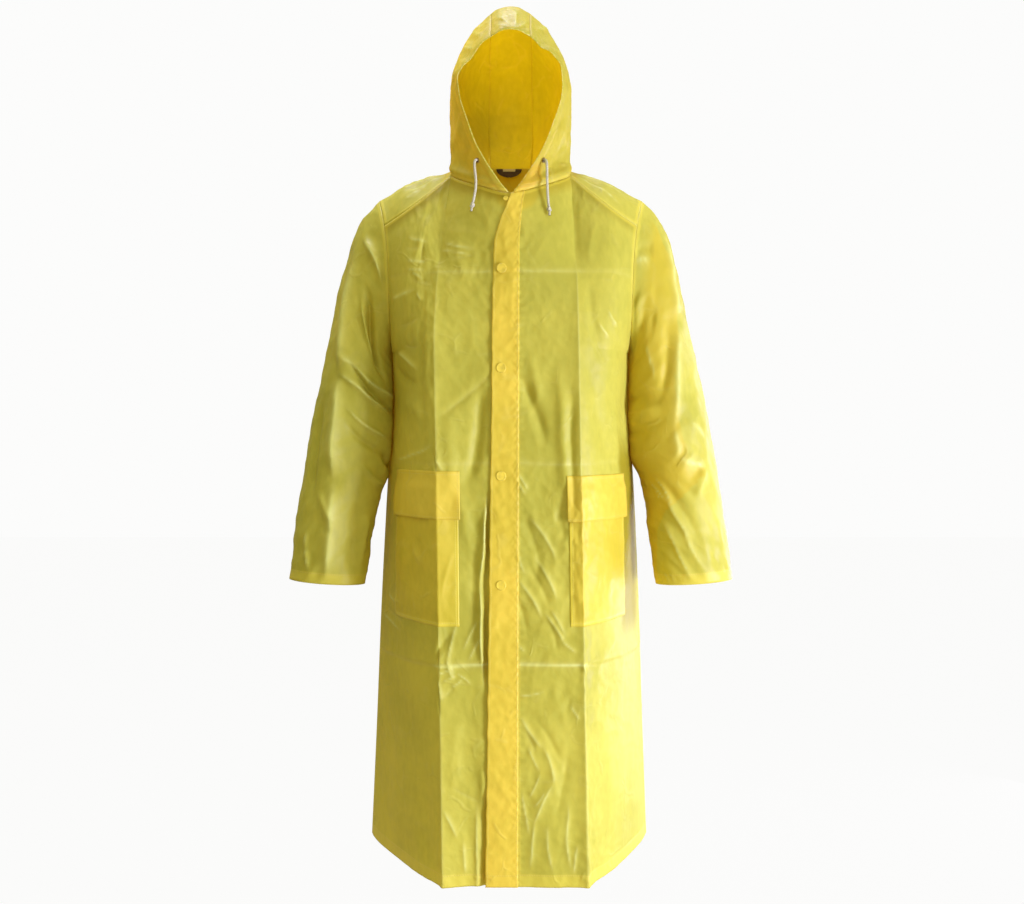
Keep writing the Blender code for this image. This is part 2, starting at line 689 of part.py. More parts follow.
def build_drawstring():
    for side, route in EXIT_ROUTES.items():
        curve = bpy.data.curves.new(f"drawstring_{side}", "CURVE")
        curve.dimensions = "3D"
        curve.bevel_depth = CORD_DIAMETER / 2
        curve.bevel_resolution = 2
        curve.use_fill_caps = True
        points = smooth_route(route, 2 * CORD_DIAMETER)
        spline = curve.splines.new("POLY")
        spline.points.add(len(points) - 1)
        for target, point in zip(spline.points, points):
            target.co = (*point, 1)
        add_object(f"drawstring_{side}", curve, IVORY, 0.8)
        build_knot(side, Vector(route[-1]), Vector(route[-1]) - Vector(route[-2]))


def build_knot(side, end, way):
    """An overhand knot's outer shape with its short tail, turned about the cord's own line."""
    profile = [(0.0, -0.0004)]
    for angle in steps(10, 150, 6):
        turn = radians(angle)
        profile.append((KNOT_RADIUS * sin(turn), -0.0004 - KNOT_HALF_HEIGHT * (1 - cos(turn))))
    profile += [(CORD_DIAMETER / 2, profile[-1][1]), (CORD_DIAMETER / 2, profile[-1][1] - KNOT_TAIL)]
    profile.append((0.0, profile[-1][1]))
    bm = bmesh.new()
    corners = [bm.verts.new((x, 0, z)) for x, z in profile]
    edges = [bm.edges.new(pair) for pair in zip(corners, corners[1:])]
    bmesh.ops.spin(
        bm, geom=corners + edges, cent=(0, 0, 0), axis=(0, 0, 1), angle=2 * pi, steps=10, use_merge=True
    )
    bmesh.ops.remove_doubles(bm, verts=bm.verts, dist=1e-6)
    bmesh.ops.recalc_face_normals(bm, faces=bm.faces)
    mesh = bpy.data.meshes.new(f"drawstring_knot_{side}")
    bm.to_mesh(mesh)
    bm.free()
    obj = add_object(f"drawstring_knot_{side}", mesh, IVORY, 0.8)
    place_on(obj, end, -way.normalized())


def build_label():
    """A half-moon that hangs inside the back neck, straight along the seam and round below."""
    grid = []
    for turn in steps(0, pi * 0.44, 4):
        row = []
        for across in steps(-1, 1, 6):
            x = LABEL_X + across * LABEL_WIDTH / 2 * cos(turn)
            share = 1 - abs(x) / 0.31
            sewn = neck_seam(1, share)
            row.append(Vector((x, sewn.y - 0.0016, sewn.z - 0.0012 - LABEL_HEIGHT * sin(turn))))
        grid.append(row)
    cloth("neck_label", grid, BODY_INSIDE, WALL, BROWN)


for old in list(bpy.data.objects):
    bpy.data.objects.remove(old, do_unlink=True)
coat = bpy.data.collections.new("hooded_raincoat")
bpy.context.scene.collection.children.link(coat)

build_body()
build_yoke()
build_sleeves()
build_hood()
build_placket()
build_pockets()
build_snaps()
build_eyelets()
build_drawstring()
build_label()
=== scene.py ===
"""A long hooded raincoat of thin translucent film, filled out as when it is worn and empty inside."""

from collections import namedtuple
from functools import partial
from math import cos, pi, radians, sin

import bmesh
import bpy
import numpy as np
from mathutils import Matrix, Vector


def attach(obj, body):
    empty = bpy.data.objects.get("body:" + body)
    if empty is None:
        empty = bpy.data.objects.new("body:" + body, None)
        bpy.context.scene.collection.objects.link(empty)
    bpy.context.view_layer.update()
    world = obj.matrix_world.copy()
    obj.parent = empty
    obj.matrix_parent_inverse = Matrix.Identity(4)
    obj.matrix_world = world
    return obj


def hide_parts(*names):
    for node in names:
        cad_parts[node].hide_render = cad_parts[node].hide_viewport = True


# The cut of the coat, as its solids have it. Metres, +Z up, the wearer faces -Y.
FILM = 0.0005
DOUBLE_FILM = 0.0010
SIDES = {"left": 1, "right": -1}

Level = namedtuple("Level", "z front_y back_y side_x side_y flatness")
LEVELS = (
    Level(-1.230, -0.135, 0.268, 0.2625, 0.078, 1.75),
    Level(-0.990, -0.134, 0.250, 0.2525, 0.074, 1.60),
    Level(-0.760, -0.132, 0.230, 0.2440, 0.070, 1.45),
    Level(-0.530, -0.131, 0.206, 0.2320, 0.064, 1.30),
    Level(-0.400, -0.130, 0.190, 0.2205, 0.050, 1.15),
    Level(-0.300, -0.129, 0.178, 0.2170, 0.020, 1.05),
    Level(-0.150, -0.124, 0.164, 0.2170, 0.020, 1.00),
    Level(-0.020, -0.105, 0.140, 0.2170, 0.020, 1.00),
)
HEM_FRONT_Z, HEM_SIDE_Z, HEM_BACK_Z = -1.2265, -1.205, -1.212
SIDE_SHIFT, SIDE_SHIFT_TOP = 0.003, -0.50
FOLD_X, FOLD_LEVEL, FOLD_LEAN, FOLD_SHARE = 0.1245, -0.72, 0.0161, 0.40
SIDE_ARC, NECK_TO_ARM, YOKE_TO_ARM = 0.235, 0.27, 0.35
ARM_ROW, UNDERARM_Z, SHOULDER_Z = 0.75, -0.300, -0.016

Flute = namedtuple("Flute", "place width depth top")
FRONT_FLUTES = (
    Flute(-0.22, 0.09, -0.0035, 0.80),
    Flute(0.20, 0.08, 0.0030, 0.70),
    Flute(-0.62, 0.10, 0.0040, 0.45),
    Flute(0.66, 0.10, 0.0030, 0.45),
)
BACK_FLUTES = (
    Flute(-0.62, 0.09, -0.0070, 0.60),
    Flute(-0.20, 0.10, -0.0110, 0.72),
    Flute(0.02, 0.09, 0.0060, 0.80),
    Flute(0.26, 0.10, -0.0090, 0.66),
    Flute(0.68, 0.09, -0.0060, 0.55),
)

ARM_X, ARM_LEAN, ARM_LEAN_POWER, ARM_Y, ARM_DEPTH = 0.217, 0.0255, 4, 0.020, 0.083
TURN_FRONT, TURN_BACK = radians(126), radians(114)

Place = namedtuple("Place", "share x y z")
NECK_SEAM = (
    Place(-0.2, -0.055, -0.089, -0.0115),
    Place(0.0, 0.000, -0.105, -0.0275),
    Place(0.2, 0.055, -0.089, -0.0115),
    Place(0.4, 0.107, -0.040, 0.0190),
    Place(0.6, 0.106, 0.030, 0.0460),
    Place(0.8, 0.062, 0.086, 0.0620),
    Place(1.0, 0.000, 0.103, 0.0670),
    Place(1.2, -0.062, 0.086, 0.0620),
)
NECK_POINT, YOKE_CORNER, YOKE_BACK_Y = 0.4, 0.5, 0.158
Swell = namedtuple("Swell", "share y z")
YOKE_SWELL = (
    Swell(0.0, -0.020, -0.009),
    Swell(0.25, 0.000, 0.007),
    Swell(0.5, 0.020, 0.006),
    Swell(1.0, 0.016, 0.010),
)

Ring = namedtuple("Ring", "along outer_x outer_z inner_x inner_z mid_y half_y")
RINGS = (
    Ring(0.00, 0.2425, -0.016, 0.2170, -0.300, 0.020, 0.083),
    Ring(0.08, 0.2740, -0.047, 0.2225, -0.338, 0.024, 0.084),
    Ring(0.22, 0.3070, -0.140, 0.2255, -0.395, 0.026, 0.083),
    Ring(0.40, 0.3360, -0.278, 0.2315, -0.462, 0.022, 0.078),
    Ring(0.58, 0.3640, -0.415, 0.2475, -0.540, 0.015, 0.070),
    Ring(0.78, 0.3890, -0.570, 0.2545, -0.622, 0.009, 0.063),
    Ring(1.00, 0.4070, -0.712, 0.2680, -0.722, 0.006, 0.057),
)
ARM_BLEND = 0.16

Rib = namedtuple("Rib", "share cheek_x cheek_y cheek_z temple_x temple_y temple_z seam_x seam_y seam_z")
RIBS = (
    Rib(0.00, 0.069, -0.097, 0.077, 0.090, -0.093, 0.178, 0.034, -0.090, 0.250),
    Rib(0.20, 0.099, -0.062, 0.100, 0.101, -0.052, 0.205, 0.035, -0.045, 0.298),
    Rib(0.45, 0.111, -0.008, 0.125, 0.100, 0.006, 0.230, 0.037, 0.012, 0.326),
    Rib(0.70, 0.106, 0.055, 0.130, 0.094, 0.080, 0.215, 0.040, 0.090, 0.302),
    Rib(0.87, 0.086, 0.108, 0.115, 0.080, 0.132, 0.178, 0.042, 0.147, 0.243),
    Rib(1.00, 0.041, 0.137, 0.095, 0.043, 0.160, 0.140, 0.043, 0.166, 0.190),
)
HOOD_FRONT, HOOD_NAPE = 0.012, 0.88
STRIP_CORNER, STRIP_SETTLES = 0.6, 0.8
STRIP_RISE = (0.014, 0.012, 0.006)

Edge = namedtuple("Edge", "z left_x right_x")
PLACKET = (
    Edge(-1.240, -0.0430, 0.0130),
    Edge(-0.760, -0.0375, 0.0135),
    Edge(-0.335, -0.0325, 0.0145),
    Edge(-0.120, -0.0310, 0.0155),
    Edge(-0.077, -0.0200, 0.0185),
    Edge(-0.050, -0.0080, 0.0215),
    Edge(-0.020, 0.0045, 0.0270),
)
FRONT_EDGE_X = {-1: 0.0065, 1: 0.0095}

POCKET_INNER_X = {-1: 0.0905, 1: 0.1000}
POCKET_OUTER = 0.74
POCKET_MOUTH_Z, POCKET_FOOT_Z = -0.545, -0.780
FLAP_TOP_Z = {-1: -0.513, 1: -0.521}
FLAP_FOOT_Z = {-1: -0.596, 1: -0.600}
FLAP_OVERHANG = 0.0030

SNAP_RADIUS, SNAP_X = 0.0088, -0.0163
SNAP_Z = (-0.1635, -0.3355, -0.5213, -0.7088)
NECK_SNAP_RADIUS, NECK_SNAP_X, NECK_SNAP_Z = 0.0045, -0.0100, -0.0390

CORD_DIAMETER = 0.0046
EYELET_HOLE, EYELET_RADIUS, EYELET_LIFT = 0.0029, 0.0047, 0.0015
EYELET_RIB, EYELET_UP = 0.085, 0.168
EXIT_ROUTES = {
    "left": (
        (0.0589, -0.0905, 0.0326),
        (0.0608, -0.0931, 0.0320),
        (0.0622, -0.0956, 0.0298),
        (0.0630, -0.0974, 0.0265),
        (0.0634, -0.0987, 0.0225),
        (0.0636, -0.0995, 0.0165),
        (0.0637, -0.1003, 0.0070),
        (0.0639, -0.1007, -0.0060),
        (0.0645, -0.1012, -0.0250),
        (0.0657, -0.1022, -0.0430),
        (0.0667, -0.1028, -0.0520),
    ),
    "right": (
        (-0.0589, -0.0905, 0.0326),
        (-0.0608, -0.0931, 0.0320),
        (-0.0622, -0.0956, 0.0298),
        (-0.0630, -0.0974, 0.0265),
        (-0.0632, -0.0987, 0.0225),
        (-0.0629, -0.0995, 0.0165),
        (-0.0618, -0.1003, 0.0070),
        (-0.0606, -0.1007, -0.0060),
        (-0.0612, -0.1014, -0.0210),
        (-0.0638, -0.1026, -0.0360),
        (-0.0658, -0.1032, -0.0450),
    ),
}
LABEL_WIDTH, LABEL_HEIGHT, LABEL_X = 0.049, 0.016, -0.003

# Creases. x0, z0 to x1, z1 is the line, bow how far its middle stands off it, width how far it
# spreads to each side, height how far it stands out (in, when negative) and sharp 1 for a pressed
# edge or 2 for a soft swell. On the fronts x is measured along the cloth from the centre line.
Crease = namedtuple("Crease", "x0 z0 x1 z1 bow width height sharp")
CREASE_DEPTH, CREASE_SPREAD, CREASE_TAPER = 1.65, 0.75, (-0.04, 0.30)
# Creases sharper than this whiten the film along their edge, ridges more than valleys, as stress
# whitening and a painted highlight.
WHITE_BELOW, RIDGE_WHITE, VALLEY_WHITE, WHITE_SPREAD = 1.5, 0.80, 0.30, 0.40
SLEEVE_DEPTH, HOOD_CREASE_DEPTH = {-1: 1.6, 1: 0.8}, 0.65
SLEEVE_GIRTH, SLEEVE_LENGTH = 0.46, 0.68
SLEEVE_UNITS = {"x_unit": SLEEVE_GIRTH / 360, "z_unit": SLEEVE_LENGTH / 100}


def crease_table(*rows, x_unit=0.001, z_unit=0.001):
    """Creases from rows of millimetres, or with x and z counted in other units than those."""
    units = (x_unit, z_unit, x_unit, z_unit, 0.001, 0.001, 0.001, 1)
    return tuple(Crease(*(value * unit for value, unit in zip(row, units))) for row in rows)


FRONT_CREASES = crease_table(
    # right front, chest
    (-193, -107, -188, -150, 2, 8, -1.4, 1.4),
    (-118, -112, -60, -128, 3, 6, 1, 1.3),
    (-124, -128, -70, -138, -2, 5, 0.9, 1.2),
    (-112, -142, -58, -136, 2, 6, -0.9, 1.3),
    (-262, -100, -170, -112, 4, 6, 1, 1.3),
    (-270, -122, -180, -130, -3, 7, -1.1, 1.4),
    (-258, -140, -165, -150, 3, 6, 1.1, 1.3),
    (-250, -158, -170, -164, 2, 5, 0.9, 1.2),
    (-230, -176, -140, -184, 4, 7, -1.2, 1.3),
    (-228, -168, -175, -181, -3, 6, 1.1, 1.2),
    (-320, -208, -198, -194, 6, 7, 1.1, 1.3),
    (-193, -200, -173, -216, 2, 5, 1.8, 1.2),
    (-266, -256, -176, -246, 4, 6, -1.3, 1.3),
    (-237, -292, -173, -295, 2, 6, -1.2, 1.3),
    (-272, -302, -180, -338, -5, 8, 2.5, 1.3),
    (-292, -322, -172, -364, 6, 10, -3.2, 1.5),
    (-208, -215, -200, -300, 6, 12, -1.3, 1.8),
    (-161, -215, -168, -480, 6, 16, -2.6, 2),
    (-175, -60, -215, -150, 5, 20, 1, 2),
    (-271, -492, -139, -466, 6, 6, 1.2, 1.2),
    (-250, -395, -150, -430, -8, 20, 2.2, 2),
    # right front, beside the placket
    (-31, -343, -124, -424, -4, 7, -1.7, 1.3),
    (-46, -362, -76, -545, -6, 13, -4.2, 1.9),
    (-98, -395, -100, -560, 2, 16, 2.2, 2),
    (-129, -485, -113, -512, 1, 5, 2.2, 1.1),
    (-138, -478, -122, -516, 2, 5, -1.8, 1.2),
    (-37, -550, -53, -715, 1, 5, 5.2, 1.2),
    (-53, -695, -51, -860, 1, 5, 5.2, 1.2),
    (-34, -540, -43, -725, 0, 7.5, -6.2, 1.6),
    (-43, -690, -42, -890, 0, 8.5, -6.6, 1.6),
    (-58, -600, -66, -800, 2, 10, -1.3, 1.8),
    (-57, -766, -84, -822, 1, 4.5, 1.3, 1.2),
    (-49, -790, -75, -840, 1, 4.5, 1.1, 1.2),
    (-92, -640, -121, -740, 4, 6, 0.9, 1.3),
    (-85, -545, -70, -640, 3, 16, 2, 2),
    (-100, -790, -140, -850, 6, 12, -3.3, 1.6),
    (-93, -770, -108, -845, 3, 5, 1.7, 1.2),
    # the crumple where the packing folds of the right front cross
    (-132, -862, -92, -846, 1, 4.5, 1.7, 1.1),
    (-110, -830, -98, -872, 1, 5, 1.7, 1.1),
    (-118, -872, -94, -862, 1, 3.5, 1.3, 1.1),
    (-94, -858, -70, -878, -2, 4, 1.2, 1.1),
    (-104, -884, -82, -866, 2, 4, 1.5, 1.1),
    (-128, -868, -119, -910, 1, 5, 1.6, 1.2),
    (-134, -876, -123, -940, 1, 6, -1.8, 1.3),
    (-116, -900, -98, -880, 2, 5, -1.2, 1.2),
    # right front, skirt
    (-109, -1052, -52, -1086, 2, 5.5, -0.8, 1.2),
    (-121, -1095, -96, -1146, -2, 6, 1.6, 1.2),
    (-84, -1148, -81, -1205, 1, 6, 1.2, 1.3),
    (-56, -1000, -50, -1215, -6, 10, 2.2, 1.6),
    (-90, -930, -100, -1060, 6, 16, 1.3, 2),
    (-45, -1050, -49, -1260, 0, 8, -6.2, 1.6),
    (-61, -1080, -62, -1250, 1, 6, 1.7, 1.3),
    (-230, -950, -250, -1190, 10, 20, 1.5, 2),
    (-180, -1020, -175, -1205, 6, 20, -1.5, 2),
    (-205, -640, -180, -675, 3, 7, 1.1, 1.4),
    (-180, -675, -155, -635, 3, 7, 1.1, 1.4),
    (-300, -762, -232, -778, 4, 7, -1.5, 1.2),
    (-315, -780, -240, -800, -4, 6, 1.2, 1.2),
    (-290, -735, -245, -750, 3, 6, 0.9, 1.2),
    # left front, chest
    (213, -232, 248, -262, 3, 6, 1.4, 1.3),
    (184, -256, 214, -280, 2, 6, 1.4, 1.3),
    (160, -180, 195, -330, 8, 18, -2, 2),
    (205, -70, 160, -150, 6, 18, 1.2, 2),
    (140, -45, 132, -150, 6, 16, -1.2, 2),
    (16, -345, 66, -470, -5, 13, -4, 1.9),
    (30, -300, 48, -420, -8, 14, 1.6, 2),
    (88, -330, 94, -560, -3, 14, 2.6, 2),
    (112, -360, 110, -600, 2, 9, -2.4, 1.8),
    (150, -280, 230, -520, 10, 30, -2.6, 2),
    # left front, beside the placket
    (2, -512, 28, -556, 1, 4.5, 1.5, 1.2),
    (12, -510, 34, -548, 1, 4.5, 1.3, 1.2),
    (30, -592, 80, -668, -5, 6, 2, 1.3),
    (20, -580, 50, -700, -6, 11, -2.2, 1.7),
    (38, -660, 80, -735, -6, 5, 2.1, 1.2),
    (30, -676, 66, -745, -4, 8, -1.7, 1.6),
    (6, -646, 26, -690, 2, 5, 1.2, 1.2),
    (10, -696, 54, -768, -5, 5.5, 2, 1.2),
    (4, -720, 30, -800, -4, 8, -1.5, 1.6),
    (56, -752, 92, -816, -3, 4.5, 2, 1.1),
    (68, -748, 92, -798, -2, 4, 1.7, 1.1),
    (86, -806, 112, -826, 1, 5, 1.2, 1.2),
    (62, -764, 82, -830, -2, 8, -1.7, 1.5),
    (6, -800, 26, -822, 1, 5, 0.9, 1.2),
    (84, -560, 100, -640, 4, 12, -1.8, 1.9),
    (107, -632, 126, -648, 0, 4, 1.3, 1.1),
    (106, -722, 127, -732, 1, 4.5, 1.1, 1.2),
    (106, -560, 126, -590, 1, 6, -1.1, 1.4),
    # left front, skirt
    (18, -935, 54, -992, 3, 6.5, 1.5, 1.3),
    (52, -985, 74, -1052, -4, 6, 1.6, 1.2),
    (74, -1045, 36, -1125, 4, 6, 1.6, 1.2),
    (38, -1110, 30, -1195, -2, 5.5, 1.3, 1.2),
    (40, -940, 82, -1010, -4, 8, -1.3, 1.5),
    (94, -985, 70, -1110, -6, 9, -1.3, 1.6),
    (94, -1080, 98, -1200, 3, 6, 1.1, 1.3),
    (112, -1150, 102, -1205, 2, 6, 1.1, 1.3),
    (28, -985, 50, -1030, 2, 4.5, 1, 1.2),
    (50, -1030, 30, -1075, -2, 4.5, 1, 1.2),
    (24, -960, 40, -1000, -2, 4.5, -0.9, 1.2),
    (36, -1090, 58, -1060, 2, 4.5, 0.9, 1.2),
    (20, -1060, 32, -1140, 2, 5, 0.8, 1.3),
    (60, -1120, 66, -1200, 2, 5, 0.8, 1.3),
    (16, -900, 60, -892, 2, 4.5, 0.7, 1.2),
    (100, -915, 116, -940, 1, 5, 0.9, 1.2),
    (75, -870, 95, -960, 4, 11, 0.9, 1.8),
    (190, -940, 205, -1190, -10, 24, 1.5, 2),
    (250, -800, 160, -880, 10, 20, 1.6, 2),
    (260, -1000, 270, -1200, 6, 22, -1.5, 2),
    (120, -842, 136, -862, 1, 5, 1.6, 1.1),
)
PackingFold = namedtuple("PackingFold", "z strength")
PACKING_FOLDS = (PackingFold(-0.1687, 0.5), PackingFold(-0.5006, 0.3), PackingFold(-0.8498, 1.5))
# What is strongest at a place and fades quickly to both sides of it.
Press = namedtuple("Press", "amount spread place", defaults=(0.0,))
# FOLD_WHITE and CROSS_WHITE whiten the packing folds' lines: stress whitening and a painted highlight.
FOLD_RISE, FOLD_WHITE, FOLD_TOP = Press(0.0050, 0.018), Press(0.45, 0.0016), (-0.130, -0.185)
CROSS_RISE, CROSS_DIP = Press(0.0016, 0.005, 0.008), Press(0.0026, 0.007)
CROSS_EDGE, CROSS_WHITE, CROSS_WHITE_LEAST = Press(1.0, 0.0028, 0.002), 0.80, 0.15
CROSS_WHITE_ENDS = (1.35, 1.02)
FRONT_PUCKER, PLACKET_PUCKER = Press(0.0008, 0.006, 0.016), Press(0.0009, 0.12, 0.92)

# On the sleeves x is the turn in degrees from the underarm over the front and z the way from the
# armhole to the cuff, in hundredths.
SLEEVE_CREASES = {
    -1: crease_table(
        (128, 12, 112, 42, 3, 20, 5, 1.3),
        (112, 40, 92, 68, 2, 20, 5.5, 1.3),
        (92, 66, 84, 100, 1, 20, 5, 1.3),
        (96, 10, 40, 20, 3, 22, -6, 2),
        (132, 9, 84, 3, -6, 7, 3, 1.4),
        (100, 16, 60, 20, 4, 10, 3.6, 1.6),
        (132, 39, 10, 18, 6, 8, 3.4, 1.4),
        (122, 42, 20, 27, 4, 8, 3, 1.4),
        (118, 36, 0, 24, 4, 12, -3.6, 1.8),
        (96, 46, 24, 40, 3, 7, 2.6, 1.3),
        (92, 50, 16, 46, 2, 10, -2.6, 1.7),
        (30, 46, -10, 52, 3, 14, -4.4, 1.8),
        (60, 56, 4, 58, 4, 9, 2.8, 1.5),
        (140, 50, 124, 78, 3, 14, -3, 2),
        (112, 72, 86, 80, 2, 8, 2.4, 1.5),
        (104, 78, 90, 84, 1, 8, -2.4, 1.5),
        (126, 84, 117, 97, 1, 4.5, 2.6, 1.1),
        (50, 62, 44, 100, 2, 20, -3, 2),
        (30, 72, 28, 96, 2, 10, 1.6, 1.8),
        **SLEEVE_UNITS,
    ),
    1: crease_table(
        (156, 10, 122, 30, -4, 20, 5.4, 1.1),
        (124, 28, 84, 52, 3, 20, 5.2, 1.1),
        (84, 50, 84, 60, 3, 16, 4.4, 1.1),
        (84, 59, 126, 68, -4, 16, 4.4, 1.1),
        (128, 68, 100, 74, -3, 12, 4, 1.6),
        (112, 20, 78, 40, 4, 20, -4, 2),
        (100, 62, 112, 69, 2, 18, -4, 2),
        (104, 0, 120, 8, 3, 8, -3.6, 1.5),
        (96, 0, 108, 7, 3, 7, 2.6, 1.4),
        (66, 1, 96, 13, 4, 8, 3.4, 1.5),
        (60, 4, 90, 18, 4, 12, -3.6, 1.8),
        (60, 12, 72, 30, 3, 7, 2, 1.3),
        (0, 14, 84, 44, 5, 14, -3.4, 1.8),
        (0, 34, 50, 45, 4, 10, -3, 1.6),
        (4, 24, 70, 42, 4, 10, 2.4, 1.6),
        (30, 58, 56, 70, 1, 4, 2.6, 1.1),
        (42, 58, 70, 74, 1, 4, 2.6, 1.1),
        (36, 62, 46, 68, 1, 3, 2.2, 1.1),
        (48, 63, 100, 97, 1, 6, 3.2, 1.2),
        (54, 62, 106, 90, 2, 10, -2.4, 1.7),
        (48, 76, 80, 99, 1, 6, 2.8, 1.2),
        (36, 95.5, 42, 99, 0, 3, 1.8, 1.1),
        (46, 95.5, 52, 99, 0, 3, 1.8, 1.1),
        (110, 53, 134, 61, 2, 8, 2, 1.4),
        (120, 80, 124, 97, 1, 14, -1.8, 2),
        **SLEEVE_UNITS,
    ),
}
# How far round from the underarm painted shade turns the wearer's left sleeve golden on its inner side.
ShadeEdge = namedtuple("ShadeEdge", "along turn")
SLEEVE_SHADE = (
    ShadeEdge(0.00, 150),
    ShadeEdge(0.21, 134),
    ShadeEdge(0.30, 126),
    ShadeEdge(0.37, 105),
    ShadeEdge(0.50, 96),
    ShadeEdge(0.61, 95),
    ShadeEdge(0.68, 124),
    ShadeEdge(0.705, 89),
    ShadeEdge(0.73, 53),
    ShadeEdge(0.82, 28),
    ShadeEdge(1.00, 16),
)

# How far the inner side of each sleeve settles in towards the body, where it comes to rest on it.
Rest = namedtuple("Rest", "z right left")
SLEEVE_REST = (
    Rest(-0.640, 0.000, 0.000),
    Rest(-0.600, 0.003, 0.001),
    Rest(-0.565, 0.009, 0.003),
    Rest(-0.535, 0.016, 0.006),
    Rest(-0.510, 0.022, 0.013),
    Rest(-0.485, 0.021, 0.022),
    Rest(-0.400, 0.017, 0.017),
    Rest(-0.335, 0.012, 0.012),
    Rest(-0.300, 0.000, 0.000),
)
REST_CLEARANCE, REST_TOP_Z, REST_TURN = 0.0016, -0.305, radians(20)
RESTING_Z = (-0.64, -0.58, -0.33, -0.29)

BACK_OF_SLEEVE_CREASES = crease_table(
    (232, 10, 252, 44, 4, 20, 4.6, 2),
    (252, 42, 276, 98, 3, 22, 4, 2),
    (300, 6, 312, 34, 3, 16, -4.4, 1.9),
    (350, 20, 264, 40, -5, 9, 3, 1.4),
    (346, 29, 258, 46, -5, 10, -3, 1.6),
    (340, 40, 262, 50, -4, 8, 2.4, 1.4),
    (334, 52, 280, 57, 3, 9, 2.2, 1.5),
    (296, 66, 318, 98, 2, 16, -2.6, 2),
    **SLEEVE_UNITS,
)

# On the back x is measured along the cloth from the centre line, to the wearer's left.
BACK_CREASES = crease_table(
    (-60, -120, -85, -420, 10, 20, -3, 2),
    (40, -140, 66, -470, -10, 22, 3, 2),
    (90, -330, 30, -460, 6, 10, -2.4, 1.5),
    (-130, -300, -30, -360, 6, 9, 2, 1.4),
    (-230, -250, -150, -300, 6, 10, 2.4, 1.5),
    (-260, -300, -160, -330, 4, 12, -2.6, 1.7),
    (235, -245, 150, -300, -5, 10, 2.4, 1.5),
    (262, -310, 170, -336, -4, 12, -2.4, 1.7),
    (-40, -560, -10, -690, 5, 7, 2.2, 1.3),
    (-22, -570, 12, -700, 5, 12, -3, 1.8),
    (60, -600, 30, -760, -5, 8, 2.4, 1.4),
    (-110, -640, -75, -740, 4, 7, 2, 1.3),
    (108, -700, 130, -840, 4, 8, 1.8, 1.4),
    (-134, -862, -96, -842, 2, 5, 2, 1.1),
    (136, -866, 100, -838, 2, 5, 2.2, 1.1),
    (120, -880, 108, -920, 1, 6, 2, 1.2),
    (-60, -900, -30, -1020, 6, 10, 2.4, 1.6),
    (-36, -1010, -64, -1150, 6, 9, 2.2, 1.5),
    (50, -930, 84, -1060, -6, 11, 2.4, 1.7),
    (74, -1040, 46, -1180, -4, 9, 2, 1.5),
    (-200, -820, -230, -1180, 10, 24, 2.6, 2),
    (196, -860, 236, -1190, -10, 24, 2.6, 2),
    (-280, -900, -300, -1190, 6, 20, -2.4, 2),
    (290, -900, 284, -1190, 6, 20, -2.2, 2),
)

# On the yoke x is the distance from the middle and z the depth from front (-) to back (+).
YOKE_CREASES = {
    -1: crease_table(
        (108, -24, 206, -36, 2, 4, 1.6, 1.2),
        (104, -12, 200, -26, 2, 6, -1.6, 1.5),
        (112, 0, 216, -14, 2, 4.5, 1.8, 1.2),
        (120, 12, 200, -2, 2, 6, -1.8, 1.6),
        (150, -33, 196, -48, 1, 3.5, 1.2, 1.1),
        (118, 26, 224, 8, 3, 5, 1.8, 1.3),
        (108, 60, 190, 110, 4, 10, 2.2, 1.8),
        (60, 100, 120, 140, 4, 10, -2, 1.8),
    ),
    1: crease_table(
        (112, -30, 196, -46, 2, 5, 1.4, 1.3),
        (110, -10, 214, -20, -2, 6, 1.8, 1.4),
        (116, -20, 205, -32, 2, 6, -1.4, 1.5),
        (122, 8, 220, 2, 2, 7, -1.6, 1.6),
        (112, 24, 214, 16, 3, 6, 1.6, 1.4),
        (112, 56, 196, 100, 4, 10, 2.2, 1.8),
        (50, 104, 130, 142, 4, 10, -2, 1.8),
    ),
}

# On a hood side x runs from the face edge to the back and z from the neck seam to the strip.
HOOD_CREASES = {
    1: crease_table(
        (4, 300, 90, 250, 6, 6, 1.4, 1.3),
        (4, 285, 70, 215, 6, 7, -1.4, 1.4),
        (30, 330, 130, 300, 4, 6, 1.4, 1.3),
        (60, 325, 180, 285, 4, 7, 1.4, 1.4),
        (20, 130, 150, 60, 8, 12, 2, 1.8),
        (10, 90, 110, 30, 8, 10, -2, 1.7),
        (6, 200, 110, 190, 8, 16, 1.4, 2),
        (200, 40, 180, 150, 8, 14, 2.4, 2),
        (240, 30, 250, 160, 8, 12, -2.4, 1.9),
        (150, 200, 270, 240, 8, 14, 1.8, 2),
    ),
    -1: crease_table(
        (4, 310, 80, 270, 6, 5, 1.8, 1.2),
        (4, 300, 60, 240, 6, 6, -1.4, 1.3),
        (12, 322, 110, 300, 4, 5, 1.8, 1.2),
        (30, 310, 100, 280, 3, 5, -1.4, 1.2),
        (50, 330, 150, 296, 4, 6, 1.6, 1.3),
        (4, 250, 56, 200, 4, 6, 1.4, 1.3),
        (16, 140, 150, 50, 10, 12, 2.6, 1.8),
        (10, 110, 100, 24, 8, 10, -2.6, 1.6),
        (30, 170, 160, 90, 10, 14, -1.8, 2),
        (190, 40, 176, 150, 8, 14, 2.4, 2),
        (236, 30, 246, 160, 8, 12, -2.2, 1.9),
        (160, 190, 280, 236, 8, 14, 1.8, 2),
    ),
}

